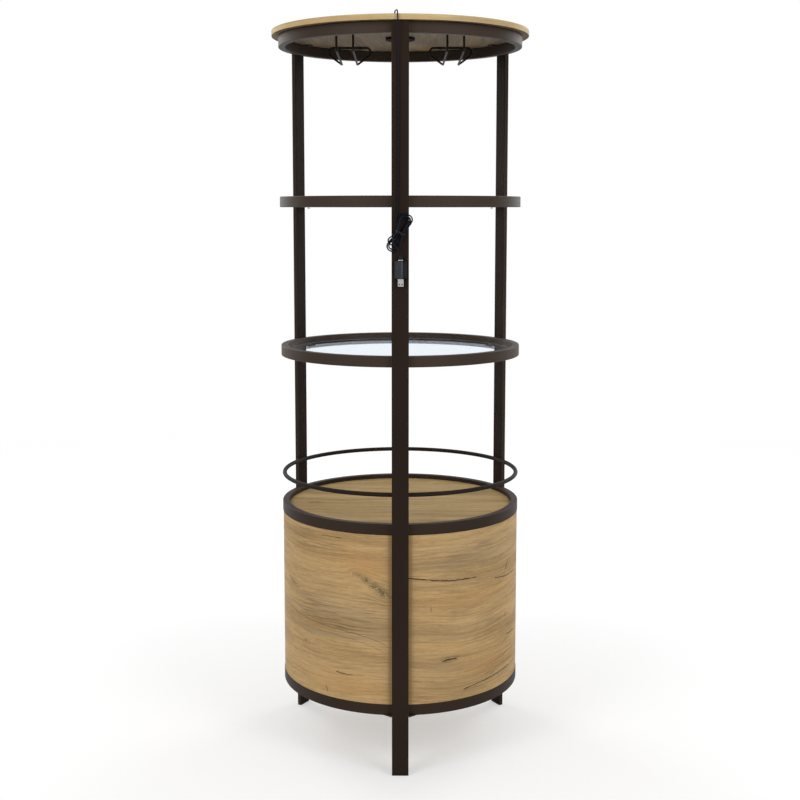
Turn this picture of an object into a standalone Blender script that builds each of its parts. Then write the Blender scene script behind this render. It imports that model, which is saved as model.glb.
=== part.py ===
"""Round bar cabinet on three flat-tube posts, built as separate pieces.

Metres, +Z up. The origin is the centre of the plan, at floor level.
The two doors face -Y. The rear post, with the light's cord, stands at +Y.
Left and right are those of a person who stands in front of the doors.
"""

import math

import bmesh
import bpy
import numpy as np
from mathutils import Matrix, Vector

# Gap between pieces that touch or rest on each other
FIT = 0.0003

# Rings of rolled flat tube
RING_RADIUS = 0.2875
RING_DEPTH = 0.0165
RING_HEIGHT = 0.025
ROUND_STEPS = 60

# Posts of flat tube, which are the legs as well
POST_WIDTH = 0.038
POST_THICKNESS = 0.011
POST_WALL = 0.0015
POST_CORNER = 0.0015
POST_ANGLES = {"rear_post": 90.0, "left_front_post": 210.0, "right_front_post": 330.0}

# Foot glides
GLIDE_BASE = 0.003
GLIDE_PLUG = 0.014

# Levels, from the floor up
BASE_RING_LEVEL = 0.139
CABINET_BODY_HEIGHT = 0.396
GALLERY_RISE = 0.067
LOWER_SHELF_RISE = 0.355
UPPER_SHELF_RISE = 0.328
TOP_RING_RISE = 0.347

# Tabs welded inside the rings, and gussets welded outside the base ring
TAB_WIDTH = 0.016
TAB_REACH = 0.018
TAB_THICKNESS = 0.0025
TAB_ROOT = 0.004
SHELF_TAB_RISE = 0.0008
CABINET_TOP_TAB_RISE = 0.0022
FLOOR_TAB_RISE = 0.0095
TAB_HOLE_RADIUS = 0.0026
TAB_HOLE_INSET = 0.0075
GUSSET_SPREAD = 0.021
GUSSET_THICKNESS = 0.003
GUSSET_ROOT = 0.004

# Top panel and its screws
TOP_OVERHANG = 0.0158
TOP_THICKNESS = 0.0127
TOP_PILOT_DEPTH = 0.009
SCREW_RADIUS = 0.0018
SCREW_HEAD_RADIUS = 0.004
SCREW_HEAD_HEIGHT = 0.0024
SCREW_TIP_GAP = 0.0006

# Glass shelves and the pads that carry them
GLASS_THICKNESS = 0.005
SHELF_CLEARANCE = 0.001
PAD_RADIUS = 0.0058
PAD_HEIGHT = 0.0018
PAD_STEM_RADIUS = 0.0022
PAD_NUT_RADIUS = 0.0036
PAD_NUT_HEIGHT = 0.0042

# Gallery rail of round rod
GALLERY_ROD_RADIUS = 0.005

# Cabinet body
BOARD_THICKNESS = 0.010
BOARD_CLEARANCE = 0.0005
WALL_THICKNESS = 0.015
WALL_SETBACK = 0.001
WALL_SEAM = 0.0016

# Doors
DOOR_GAP = 0.002
DOOR_RISE = 0.0015

# Butt hinges
HINGE_RADIUS = 0.0032
HINGE_BORE_RADIUS = 0.0018
HINGE_PIN_RADIUS = 0.0014
HINGE_PIN_HEAD = 0.0012
HINGE_HEIGHT = 0.050
HINGE_LEAF_THICKNESS = 0.0016
HINGE_DOOR_LEAF = 0.0225
HINGE_KNUCKLE_GAP = 0.0005
HINGE_INSET = 0.065
DOOR_EDGE_LEAD = 0.0008

# Door pulls
PULL_RADIUS = 0.0035
PULL_PROJECTION = 0.0155
PULL_LENGTH = 0.120
PULL_BEND = 0.008

# Magnetic catch
CATCH_WIDTH = 0.044
CATCH_DEPTH = 0.013
CATCH_GAP = 0.0005
STRIKE_WIDTH = 0.016
STRIKE_HEIGHT = 0.011
STRIKE_DROP = 0.001
STRIKE_THICKNESS = 0.0012

# Stemware racks of bent wire
RACK_WIRE_RADIUS = 0.0025
RACK_CENTRE = 0.1257
RACK_GAUGE = 0.038
RACK_DROP = 0.045
RACK_REAR = 0.134
RACK_RING_CLEARANCE = 0.023
RACK_FLARE = 0.013
RACK_BAR_WIDTH = 0.102
RACK_KICK = 0.018
RACK_BEND = 0.008
RACK_FLANGE_RADIUS = 0.008
RACK_FLANGE_THICKNESS = 0.0015
RACK_LUG = (0.014, 0.014)
RACK_LUG_SPACING = 0.050

# Light under the top panel
PUCK_RADIUS = 0.035
PUCK_HEIGHT = 0.006
LENS_RADIUS = 0.029
LENS_HEIGHT = 0.0018

# Cord of the light
CORD_RADIUS = 0.0015
CORD_STEP = 0.0085
OUTLET_X = 0.012
OUTLET_INSET = 0.0413
GROMMET_BORE_RADIUS = 0.0022
GROMMET_BARREL_RADIUS = 0.0034
GROMMET_FLANGE_RADIUS = 0.0055
GROMMET_FLANGE_HEIGHT = 0.0012
CLIP_LENGTH = 0.008
CLIP_THICKNESS = 0.0011
CLIP_FOOT = 0.006
CLIP_X = 0.0084
CLIP_FROM_OUTLET = 0.112

# Hank of the cord, tied at its waist, and the tie
HANK_WAIST_POINT = (0.0, 1.2373)
HANK_TILT = 27.0
HANK_HALF_LENGTH = 0.0405
HANK_WAIST = 0.0021
HANK_LOBE = 0.0235
HANK_PITCH = 0.0043
HANK_LAYER_PITCH = 0.0037
HANK_LAYERS = 4
HANK_TURNS_IN_LAYER = 1.25
HANK_CLIMB_TURNS = 0.5
HANK_STEPS = 24
HANK_LEAD = 0.0085
TIE_THICKNESS = 0.001
TIE_HEIGHT = 0.004
TIE_CLEARANCE = 0.0004
TIE_CORNER = 0.003

# Plug
COLLAR_SIZE = (0.011, 0.005, 0.0045)
PLUG_SIZE = (0.027, 0.009, 0.040)
PLUG_CORNER = 0.002
SHELL_SIZE = (0.0125, 0.0045, 0.0165)
SHELL_WALL = 0.0006
SHELL_MOUTH = 0.009
PLUG_X = -0.001
PLUG_TOP = 1.1772
PLUG_STANDOFF = 0.002

# Radii and plan places that follow from the sizes above
RING_INNER = RING_RADIUS - RING_DEPTH
TAB_HOLE_REACH = RING_INNER - TAB_HOLE_INSET
POST_INNER = RING_RADIUS + FIT
POST_OUTER = POST_INNER + POST_THICKNESS
TOP_RADIUS = RING_RADIUS + TOP_OVERHANG
GLASS_RADIUS = RING_INNER - SHELF_CLEARANCE
BOARD_RADIUS = RING_INNER - BOARD_CLEARANCE
GALLERY_RADIUS = POST_INNER - FIT - GALLERY_ROD_RADIUS
WALL_OUTER = RING_RADIUS - WALL_SETBACK
WALL_INNER = WALL_OUTER - WALL_THICKNESS
OUTLET_Y = TOP_RADIUS - OUTLET_INSET
CLIP_Y = OUTLET_Y - CLIP_FROM_OUTLET
RACK_BAR = math.sqrt((RING_INNER - RACK_RING_CLEARANCE) ** 2 - (RACK_CENTRE + RACK_BAR_WIDTH / 2) ** 2)
RACK_TIP = RACK_BAR - RACK_FLARE
FACET_HALF_ANGLE = 180.0 / ROUND_STEPS
FACET_FLAT = math.cos(math.radians(FACET_HALF_ANGLE))

# Levels that follow from the sizes above
BASE_RING_TOP = BASE_RING_LEVEL + RING_HEIGHT
CABINET_RING_LEVEL = BASE_RING_TOP + CABINET_BODY_HEIGHT
CABINET_RING_TOP = CABINET_RING_LEVEL + RING_HEIGHT
GALLERY_LEVEL = CABINET_RING_TOP + GALLERY_RISE
LOWER_SHELF_LEVEL = CABINET_RING_TOP + LOWER_SHELF_RISE
UPPER_SHELF_LEVEL = LOWER_SHELF_LEVEL + RING_HEIGHT + UPPER_SHELF_RISE
TOP_RING_LEVEL = UPPER_SHELF_LEVEL + RING_HEIGHT + TOP_RING_RISE
TOP_UNDERSIDE = TOP_RING_LEVEL + RING_HEIGHT + FIT
TOP_SURFACE = TOP_UNDERSIDE + TOP_THICKNESS
CABINET_BOARD_LEVEL = CABINET_RING_LEVEL + CABINET_TOP_TAB_RISE + TAB_THICKNESS + FIT
FLOOR_BOARD_LEVEL = BASE_RING_LEVEL + FLOOR_TAB_RISE + TAB_THICKNESS + FIT
DOOR_LEVEL = BASE_RING_TOP + DOOR_RISE
DOOR_TOP = CABINET_RING_LEVEL - DOOR_RISE

# Places of the hinges, across from a post's middle and out from the cabinet's axis
HINGE_ACROSS = POST_WIDTH / 2 + FIT + HINGE_RADIUS
HINGE_OUT = WALL_OUTER + FIT + HINGE_RADIUS
DOOR_EDGE = HINGE_ACROSS + DOOR_EDGE_LEAD
WALL_END = DOOR_EDGE - DOOR_GAP

# Route of the cord, chosen by hand, from the outlet to the hank
# Each point is (x, y beyond the top panel's edge, z above the top panel's surface).
ROUTE_OVER_EDGE = [
    (0.0120, -0.0413, 0.0018),
    (0.0120, -0.0413, 0.0034),
    (0.0118, -0.0392, 0.0074),
    (0.0111, -0.0340, 0.0094),
    (0.0098, -0.0250, 0.0098),
    (0.0081, -0.0150, 0.0093),
    (0.0069, -0.0065, 0.0077),
    (0.0061, 0.0004, 0.0043),
    (0.0056, 0.0036, -0.0020),
    (0.0053, 0.0043, -0.0100),
    (0.0050, 0.0040, -0.0200),
]
# Each point is (x, y beyond the post's outer face, z).
ROUTE_DOWN_POST = [
    (0.0047, 0.0068, 1.6650),
    (0.0043, 0.0046, 1.6300),
    (0.0038, 0.0036, 1.5800),
    (0.0036, 0.0032, 1.5100),
    (0.0040, 0.0031, 1.4300),
    (0.0046, 0.0031, 1.3600),
    (0.0048, 0.0031, 1.3100),
    (0.0040, 0.0032, 1.2800),
    (0.0024, 0.0032, 1.2640),
]
# Tail from the hank to the plug: (x, y beyond the post's outer face, z).
ROUTE_TAIL = [
    (0.0113, 0.0180, 1.2230),
    (0.0103, 0.0181, 1.2140),
    (0.0067, 0.0177, 1.2055),
    (0.0026, 0.0163, 1.1980),
    (0.0000, 0.0130, 1.1910),
]


# Materials

def material(name, color, roughness, metallic=0.0, transmission=0.0):
    finish = bpy.data.materials.new(name)
    finish.use_nodes = True
    shader = finish.node_tree.nodes["Principled BSDF"]
    shader.inputs["Base Color"].default_value = (*color, 1.0)
    shader.inputs["Roughness"].default_value = roughness
    shader.inputs["Metallic"].default_value = metallic
    shader.inputs["Transmission Weight"].default_value = transmission
    finish.diffuse_color = (*color, 1.0)
    return finish


def make_materials():
    return {
        "oak": material("oak", (0.45, 0.28, 0.13), 0.55),
        "bronze": material("bronze", (0.035, 0.025, 0.02), 0.42, 0.6),
        "wire": material("wire", (0.03, 0.022, 0.018), 0.35, 0.7),
        "glass": material("glass", (0.82, 0.92, 0.95), 0.05, 0.0, 0.9),
        "steel": material("steel", (0.55, 0.54, 0.52), 0.3, 1.0),
        "pad": material("pad", (0.35, 0.35, 0.35), 0.6),
        "plastic": material("plastic", (0.02, 0.02, 0.022), 0.45),
        "lens": material("lens", (0.85, 0.85, 0.8), 0.4),
        "cord": material("cord", (0.012, 0.013, 0.02), 0.4),
    }


# Plan geometry

def polar(radius, degrees):
    angle = math.radians(degrees)
    return radius * math.cos(angle), radius * math.sin(angle)


def circle_plan(radius, steps=ROUND_STEPS):
    return [polar(radius, 360.0 * i / steps) for i in range(steps)]


def rounded_rectangle(width, depth, corner, steps=3):
    """Plan outline, counter-clockwise, with arcs at its corners."""
    points = []
    centres = [(1, 1, 0), (-1, 1, 90), (-1, -1, 180), (1, -1, 270)]
    for side_x, side_y, start in centres:
        for i in range(steps + 1):
            dx, dy = polar(corner, start + 90.0 * i / steps)
            points.append((side_x * (width / 2 - corner) + dx, side_y * (depth / 2 - corner) + dy))
    return points


def wall_plan(start_angle, start_offset, end_angle, end_offset):
    """Outer and inner arcs of a curved wall whose ends are cut square, not on a radius."""
    step = 360.0 / ROUND_STEPS

    def limits(radius):
        start = start_angle + math.degrees(math.asin(start_offset / radius))
        end = end_angle - math.degrees(math.asin(end_offset / radius))
        return start, end

    narrow = limits(WALL_INNER)
    wide = limits(WALL_OUTER)
    first = max(narrow[0], wide[0]) + step * 0.1
    last = min(narrow[1], wide[1]) - step * 0.1
    between = [k * step for k in range(math.ceil(first / step), math.floor(last / step) + 1)]
    outer = [polar(WALL_OUTER, a) for a in [wide[0]] + between + [wide[1]]]
    inner = [polar(WALL_INNER, a) for a in [narrow[0]] + between + [narrow[1]]]
    return outer, inner


# Solid builders

def finish_mesh(name, bm, finish, location=(0.0, 0.0, 0.0), turn=0.0):
    """Close a bmesh into a named object, placed by its location and its turn about Z."""
    bmesh.ops.recalc_face_normals(bm, faces=bm.faces[:])
    mesh = bpy.data.meshes.new(name)
    bm.to_mesh(mesh)
    bm.free()
    mesh.materials.append(finish)
    piece = bpy.data.objects.new(name, mesh)
    bpy.context.scene.collection.objects.link(piece)
    piece.location = location
    piece.rotation_euler = (0.0, 0.0, math.radians(turn))
    return piece


def prism_mesh(outline, low, high):
    """Upright prism over a plan outline."""
    bm = bmesh.new()
    lower = [bm.verts.new((x, y, low)) for x, y in outline]
    upper = [bm.verts.new((x, y, high)) for x, y in outline]
    bm.faces.new(lower[::-1])
    bm.faces.new(upper)
    for i in range(len(outline)):
        bm.faces.new((lower[i - 1], lower[i], upper[i], upper[i - 1]))
    return bm


def band_mesh(outer, inner, low, high, closed):
    """Upright wall between two plan curves of as many points each."""
    bm = bmesh.new()
    columns = []
    for (ox, oy), (ix, iy) in zip(outer, inner):
        corners = ((ox, oy, low), (ox, oy, high), (ix, iy, high), (ix, iy, low))
        columns.append([bm.verts.new(corner) for corner in corners])
    count = len(columns)
    for i in range(0 if closed else 1, count):
        before, after = columns[i - 1], columns[i]
        for k in range(4):
            following = (k + 1) % 4
            bm.faces.new((before[k], after[k], after[following], before[following]))
    if not closed:
        bm.faces.new(columns[0][::-1])
        bm.faces.new(columns[-1])
    return bm


def turned_mesh(profile, steps, closed=False):
    """Solid of revolution about Z from (radius, height) points; a radius of 0 lies on the axis."""
    bm = bmesh.new()
    rows = []
    for radius, height in profile:
        if radius == 0.0:
            rows.append([bm.verts.new((0.0, 0.0, height))])
        else:
            rows.append([bm.verts.new((*polar(radius, 360.0 * i / steps), height)) for i in range(steps)])
    for index in range(0 if closed else 1, len(rows)):
        below, above = rows[index - 1], rows[index]
        for i in range(steps):
            corners = [below[i - 1], below[i]] if len(below) > 1 else [below[0]]
            corners += [above[i], above[i - 1]] if len(above) > 1 else [above[0]]
            bm.faces.new(corners)
    return bm


def box_mesh(size, centre):
    bm = bmesh.new()
    bmesh.ops.create_cube(bm, size=1.0)
    bmesh.ops.scale(bm, vec=size, verts=bm.verts[:])
    bmesh.ops.translate(bm, vec=centre, verts=bm.verts[:])
    return bm


def combine(target, tool, operation):
    """Join a tool to the target or cut it away; the tool is used up."""
    modifier = target.modifiers.new("combine", "BOOLEAN")
    modifier.operation = operation
    modifier.solver = "EXACT"
    modifier.object = tool
    bpy.context.view_layer.update()
    evaluated = target.evaluated_get(bpy.context.evaluated_depsgraph_get())
    result = bpy.data.meshes.new_from_object(evaluated)
    target.modifiers.clear()
    target.data = result
    bpy.data.objects.remove(tool)


def smooth(piece, limit=35.0):
    piece.data.shade_smooth()
    piece.data.set_sharp_from_angle(angle=math.radians(limit))
    return piece


def tube_curve(name, points, radius, sides, finish, closed=False):
    """Round tube along points; sides is 6, 8 or 12."""
    curve = bpy.data.curves.new(name, "CURVE")
    curve.dimensions = "3D"
    curve.bevel_depth = radius
    curve.bevel_resolution = sides // 2 - 2
    curve.use_fill_caps = not closed
    spline = curve.splines.new("POLY")
    spline.points.add(len(points) - 1)
    for point, place in zip(spline.points, points):
        point.co = (*place, 1.0)
    spline.use_cyclic_u = closed
    curve.materials.append(finish)
    piece = bpy.data.objects.new(name, curve)
    bpy.context.scene.collection.objects.link(piece)
    return piece


def as_mesh(curve_piece):
    """Replace a tube by a mesh object of the same name, with its caps sewn on, to be joined."""
    name = curve_piece.name
    curve_piece.name = name + "_path"
    bpy.context.view_layer.update()
    evaluated = curve_piece.evaluated_get(bpy.context.evaluated_depsgraph_get())
    mesh = bpy.data.meshes.new_from_object(evaluated)
    bm = bmesh.new()
    bm.from_mesh(mesh)
    bmesh.ops.remove_doubles(bm, verts=bm.verts[:], dist=0.00001)
    bmesh.ops.recalc_face_normals(bm, faces=bm.faces[:])
    bm.to_mesh(mesh)
    bm.free()
    piece = bpy.data.objects.new(name, mesh)
    bpy.context.scene.collection.objects.link(piece)
    bpy.data.objects.remove(curve_piece)
    return piece


def bent_path(corners, radius, steps=3):
    """Path of bent wire: straight runs with an arc at each corner."""
    path = [Vector(corners[0])]
    for before, corner, after in zip(corners, corners[1:], corners[2:]):
        back = (Vector(before) - Vector(corner)).normalized()
        ahead = (Vector(after) - Vector(corner)).normalized()
        half = back.angle(ahead) / 2
        tangent = radius / math.tan(half)
        centre = Vector(corner) + (back + ahead).normalized() * (radius / math.sin(half))
        start = (Vector(corner) + back * tangent - centre).normalized()
        end = (Vector(corner) + ahead * tangent - centre).normalized()
        for i in range(steps + 1):
            path.append(centre + start.slerp(end, i / steps) * radius)
    path.append(Vector(corners[-1]))
    return path


def set_origin(piece, point):
    """Move a piece's origin to a point, with its shape left in place."""
    shift = Vector(point) - piece.location
    local = piece.rotation_euler.to_matrix().inverted() @ shift
    piece.data.transform(Matrix.Translation(-local))
    piece.location = point


def hang_on(piece, pivot):
    """Parent a piece to a pivot, with its place in the world kept."""
    piece.parent = pivot
    piece.location = piece.location - pivot.location


# Frame

def make_ring(name, level, finish, tab_rise, tab_hole=False):
    """Ring with a tab at each post; its rise is from the ring's underside to the tab's."""
    ring = finish_mesh(
        name,
        band_mesh(circle_plan(RING_RADIUS), circle_plan(RING_INNER), 0.0, RING_HEIGHT, True),
        finish, (0.0, 0.0, level))
    reach = RING_INNER - TAB_REACH
    root = RING_INNER + TAB_ROOT
    for angle in POST_ANGLES.values():
        size = (root - reach, TAB_WIDTH, TAB_THICKNESS)
        centre = ((root + reach) / 2, 0.0, tab_rise + TAB_THICKNESS / 2)
        tab = finish_mesh("tab", box_mesh(size, centre), finish, (0.0, 0.0, level), angle)
        combine(ring, tab, "UNION")
        if tab_hole:
            low = tab_rise - TAB_THICKNESS
            high = tab_rise + 2 * TAB_THICKNESS
            place = (*polar(TAB_HOLE_REACH, angle), level)
            hole_mesh = prism_mesh(circle_plan(TAB_HOLE_RADIUS, 12), low, high)
            combine(ring, finish_mesh("hole", hole_mesh, finish, place, angle), "DIFFERENCE")
    return ring


def add_gussets(ring, finish):
    """Small plates under the base ring, between its outside and the posts' outer corners."""
    beside = POST_WIDTH / 2 + FIT
    wide = beside + GUSSET_SPREAD
    root = RING_RADIUS - GUSSET_ROOT
    outline = [
        (root, beside),
        (POST_OUTER, beside),
        (math.sqrt(RING_RADIUS ** 2 - wide ** 2) - GUSSET_ROOT / 2, wide),
        (root - GUSSET_ROOT, wide),
    ]
    for angle in POST_ANGLES.values():
        for side in (1.0, -1.0):
            plan = [(x, side * y) for x, y in outline][::int(side)]
            gusset = finish_mesh("gusset", prism_mesh(plan, 0.0, GUSSET_THICKNESS), finish,
                                 (0.0, 0.0, BASE_RING_LEVEL), angle)
            combine(ring, gusset, "UNION")


def make_rings(finishes):
    bronze = finishes["bronze"]
    base = make_ring("cabinet_base_ring", BASE_RING_LEVEL, bronze, FLOOR_TAB_RISE)
    add_gussets(base, bronze)
    make_ring("cabinet_top_ring", CABINET_RING_LEVEL, bronze, CABINET_TOP_TAB_RISE)
    make_ring("lower_shelf_ring", LOWER_SHELF_LEVEL, bronze, SHELF_TAB_RISE, True)
    make_ring("upper_shelf_ring", UPPER_SHELF_LEVEL, bronze, SHELF_TAB_RISE, True)
    make_ring("top_ring", TOP_RING_LEVEL, bronze, RING_HEIGHT - TAB_THICKNESS, True)


def make_posts(finishes):
    middle = POST_INNER + POST_THICKNESS / 2
    low = GLIDE_BASE + FIT
    high = TOP_UNDERSIDE - FIT
    bore = (POST_THICKNESS - 2 * POST_WALL, POST_WIDTH - 2 * POST_WALL)
    outline = rounded_rectangle(POST_THICKNESS, POST_WIDTH, POST_CORNER)
    for name, angle in POST_ANGLES.items():
        place = (*polar(middle, angle), 0.0)
        post = finish_mesh(name, prism_mesh(outline, low, high), finishes["bronze"], place, angle)
        cutter_size = (*bore, high - low + 2 * POST_WALL)
        cutter_mesh = box_mesh(cutter_size, (0.0, 0.0, (high + low) / 2))
        combine(post, finish_mesh("bore", cutter_mesh, finishes["bronze"], place, angle), "DIFFERENCE")
        glide_name = name.replace("_post", "_foot_glide")
        glide = finish_mesh(glide_name, prism_mesh(outline, 0.0, GLIDE_BASE),
                            finishes["plastic"], place, angle)
        plug_size = (bore[0] - 2 * FIT, bore[1] - 2 * FIT, GLIDE_PLUG)
        plug_centre = (0.0, 0.0, GLIDE_BASE / 2 + GLIDE_PLUG / 2)
        plug = finish_mesh("plug", box_mesh(plug_size, plug_centre), finishes["plastic"], place, angle)
        combine(glide, plug, "UNION")


def make_gallery(finishes):
    points = [(x, y, GALLERY_LEVEL) for x, y in circle_plan(GALLERY_RADIUS)]
    tube_curve("gallery_rail", points, GALLERY_ROD_RADIUS, 8, finishes["bronze"], closed=True)


# Boards and shelves

def make_top_panel(finishes):
    panel = finish_mesh("top_panel", prism_mesh(circle_plan(TOP_RADIUS), 0.0, TOP_THICKNESS),
                        finishes["oak"], (0.0, 0.0, TOP_UNDERSIDE))
    for angle in POST_ANGLES.values():
        place = (*polar(TAB_HOLE_REACH, angle), TOP_UNDERSIDE)
        pilot = prism_mesh(circle_plan(TAB_HOLE_RADIUS, 12), -TOP_PILOT_DEPTH, TOP_PILOT_DEPTH)
        combine(panel, finish_mesh("pilot", pilot, finishes["oak"], place, angle), "DIFFERENCE")
    outlet = prism_mesh(circle_plan(GROMMET_BARREL_RADIUS + FIT, 16), -TOP_THICKNESS, 2 * TOP_THICKNESS)
    place = (OUTLET_X, OUTLET_Y, TOP_UNDERSIDE)
    combine(panel, finish_mesh("outlet", outlet, finishes["oak"], place), "DIFFERENCE")


def make_top_screws(finishes):
    tab_under = TOP_RING_LEVEL + RING_HEIGHT - TAB_THICKNESS
    head_top = tab_under - FIT
    tip = TOP_UNDERSIDE + TOP_PILOT_DEPTH - SCREW_TIP_GAP
    profile = [
        (0.0, head_top - SCREW_HEAD_HEIGHT),
        (SCREW_HEAD_RADIUS * 0.75, head_top - SCREW_HEAD_HEIGHT),
        (SCREW_HEAD_RADIUS, head_top),
        (SCREW_RADIUS, head_top),
        (SCREW_RADIUS, tip - SCREW_RADIUS),
        (0.0, tip),
    ]
    for name, angle in POST_ANGLES.items():
        screw_name = name.replace("_post", "_top_screw")
        finish_mesh(screw_name, turned_mesh(profile, 12), finishes["steel"],
                    (*polar(TAB_HOLE_REACH, angle), 0.0), angle)


def make_shelf(name, level, finishes):
    """Glass disc on three screwed pads, whose nuts show under the ring."""
    tab_under = SHELF_TAB_RISE
    tab_top = tab_under + TAB_THICKNESS
    pad_top = tab_top + FIT + PAD_HEIGHT
    profile = [
        (0.0, tab_under - FIT - PAD_NUT_HEIGHT),
        (PAD_NUT_RADIUS * 0.8, tab_under - FIT - PAD_NUT_HEIGHT),
        (PAD_NUT_RADIUS, tab_under - FIT - PAD_NUT_HEIGHT * 0.7),
        (PAD_NUT_RADIUS, tab_under - FIT),
        (PAD_STEM_RADIUS, tab_under - FIT),
        (PAD_STEM_RADIUS, tab_top + FIT),
        (PAD_RADIUS, tab_top + FIT),
        (PAD_RADIUS, pad_top),
        (0.0, pad_top),
    ]
    for post, angle in POST_ANGLES.items():
        pad_name = post.replace("post", name + "_pad")
        finish_mesh(pad_name, turned_mesh(profile, 12), finishes["pad"],
                    (*polar(TAB_HOLE_REACH, angle), level), angle)
    glass_low = pad_top + FIT
    glass = prism_mesh(circle_plan(GLASS_RADIUS), glass_low, glass_low + GLASS_THICKNESS)
    finish_mesh(name + "_glass_shelf", glass, finishes["glass"], (0.0, 0.0, level))


def make_cabinet_boards(finishes):
    board = circle_plan(BOARD_RADIUS)
    finish_mesh("cabinet_top_panel", prism_mesh(board, 0.0, BOARD_THICKNESS), finishes["oak"],
                (0.0, 0.0, CABINET_BOARD_LEVEL))
    finish_mesh("cabinet_floor_panel", prism_mesh(board, 0.0, BOARD_THICKNESS), finishes["oak"],
                (0.0, 0.0, FLOOR_BOARD_LEVEL))


def make_back_panels(finishes):
    rear = POST_ANGLES["rear_post"]
    seam = WALL_SEAM / 2
    low = BASE_RING_TOP + FIT
    high = CABINET_RING_LEVEL - FIT
    right_plan = wall_plan(POST_ANGLES["right_front_post"] - 360.0, -WALL_END, rear, seam)
    left_plan = wall_plan(rear, seam, POST_ANGLES["left_front_post"], -WALL_END)
    for name, plan in (("right_back_panel", right_plan), ("left_back_panel", left_plan)):
        finish_mesh(name, band_mesh(*plan, low, high, False), finishes["oak"])


# Doors: side is 1 for the left door, whose post stands before it counter-clockwise, else -1

DOORS = {
    "left": {"side": 1.0, "post": POST_ANGLES["left_front_post"]},
    "right": {"side": -1.0, "post": POST_ANGLES["right_front_post"]},
}
DOOR_MEETING = 270.0


def hinge_axis(door):
    """Plan point of a door's hinge axis."""
    out = Vector(polar(HINGE_OUT, door["post"]))
    across = Vector(polar(HINGE_ACROSS, door["post"] + 90.0 * door["side"]))
    return out + across


def make_pivot(name, door):
    pivot = bpy.data.objects.new(name + "_door_pivot", None)
    pivot.empty_display_size = 0.05
    pivot.location = (*hinge_axis(door), DOOR_LEVEL)
    bpy.context.scene.collection.objects.link(pivot)
    return pivot


def make_door(name, door, pivot, finishes):
    gap = DOOR_GAP / 2
    if door["side"] > 0:
        plan = wall_plan(door["post"], DOOR_EDGE, DOOR_MEETING, gap)
    else:
        plan = wall_plan(DOOR_MEETING, gap, door["post"], DOOR_EDGE)
    panel = finish_mesh(name + "_door", band_mesh(*plan, DOOR_LEVEL, DOOR_TOP, False), finishes["oak"])
    set_origin(panel, pivot.location)
    hang_on(panel, pivot)


def make_pull(name, door, pivot, finishes):
    """Round-bar pull that stands on the door's flat nearest the meeting edge."""
    angle = DOOR_MEETING - FACET_HALF_ANGLE * door["side"]
    start = WALL_OUTER * FACET_FLAT + FIT
    out = start + PULL_PROJECTION - PULL_RADIUS
    middle = (DOOR_LEVEL + DOOR_TOP) / 2
    low = middle - PULL_LENGTH / 2 + PULL_RADIUS
    high = middle + PULL_LENGTH / 2 - PULL_RADIUS
    near = Vector(polar(start, angle))
    far = Vector(polar(out, angle))
    corners = [(*near, high), (*far, high), (*far, low), (*near, low)]
    pull = tube_curve(name + "_door_pull", bent_path(corners, PULL_BEND), PULL_RADIUS, 8,
                      finishes["bronze"])
    piece = as_mesh(pull)
    set_origin(piece, pivot.location)
    hang_on(piece, pivot)


def make_strike(name, door, pivot, finishes):
    """Steel plate behind the door, which the catch's magnet holds."""
    angle = DOOR_MEETING - FACET_HALF_ANGLE * door["side"]
    outer = WALL_INNER * FACET_FLAT - FIT
    centre = (outer - STRIKE_THICKNESS / 2, 0.0, DOOR_TOP - STRIKE_DROP - STRIKE_HEIGHT / 2)
    size = (STRIKE_THICKNESS, STRIKE_WIDTH, STRIKE_HEIGHT)
    strike = finish_mesh(name + "_door_strike", box_mesh(size, centre), finishes["steel"], turn=angle)
    set_origin(strike, pivot.location)
    hang_on(strike, pivot)


def make_catch(finishes):
    """Magnet block under the cabinet's top board, which reaches down just behind the strikes."""
    tilt = math.radians(FACET_HALF_ANGLE)
    strike_face = WALL_INNER * FACET_FLAT - FIT - STRIKE_THICKNESS
    front = strike_face * math.cos(tilt) - STRIKE_WIDTH / 2 * math.sin(tilt) - CATCH_GAP
    high = CABINET_BOARD_LEVEL - FIT
    low = DOOR_TOP - STRIKE_DROP - STRIKE_HEIGHT
    centre = (0.0, -(front - CATCH_DEPTH / 2), (low + high) / 2)
    finish_mesh("magnetic_catch", box_mesh((CATCH_WIDTH, CATCH_DEPTH, high - low), centre),
                finishes["plastic"])


def knuckle_spans():
    """Three knuckles share the hinge's height, the outer two on the post's leaf."""
    length = (HINGE_HEIGHT - 2 * HINGE_KNUCKLE_GAP) / 3
    starts = [i * (length + HINGE_KNUCKLE_GAP) - HINGE_HEIGHT / 2 for i in range(3)]
    return [(start, start + length) for start in starts]


def hinge_leaf(name, spans, offset, reach, turn, place, finish):
    """Leaf with its knuckles: the axis is local Z, and the plate runs along local X.

    The plate lies between the two values of offset along local Y.
    """
    clear = HINGE_RADIUS + FIT
    low_y, high_y = sorted(offset)
    depth = high_y - low_y
    middle_y = (high_y + low_y) / 2
    plate = box_mesh((reach - clear, depth, HINGE_HEIGHT), ((reach + clear) / 2, middle_y, 0.0))
    leaf = finish_mesh(name, plate, finish, place, turn)
    for low, high in spans:
        tongue_size = (2 * clear, depth, high - low)
        tongue = box_mesh(tongue_size, (clear, middle_y, (low + high) / 2))
        combine(leaf, finish_mesh("tongue", tongue, finish, place, turn), "UNION")
        barrel = prism_mesh(circle_plan(HINGE_RADIUS, 12), low, high)
        combine(leaf, finish_mesh("barrel", barrel, finish, place, turn), "UNION")
    bore = prism_mesh(circle_plan(HINGE_BORE_RADIUS, 12), -HINGE_HEIGHT, HINGE_HEIGHT)
    combine(leaf, finish_mesh("bore", bore, finish, place, turn), "DIFFERENCE")
    return leaf


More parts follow.
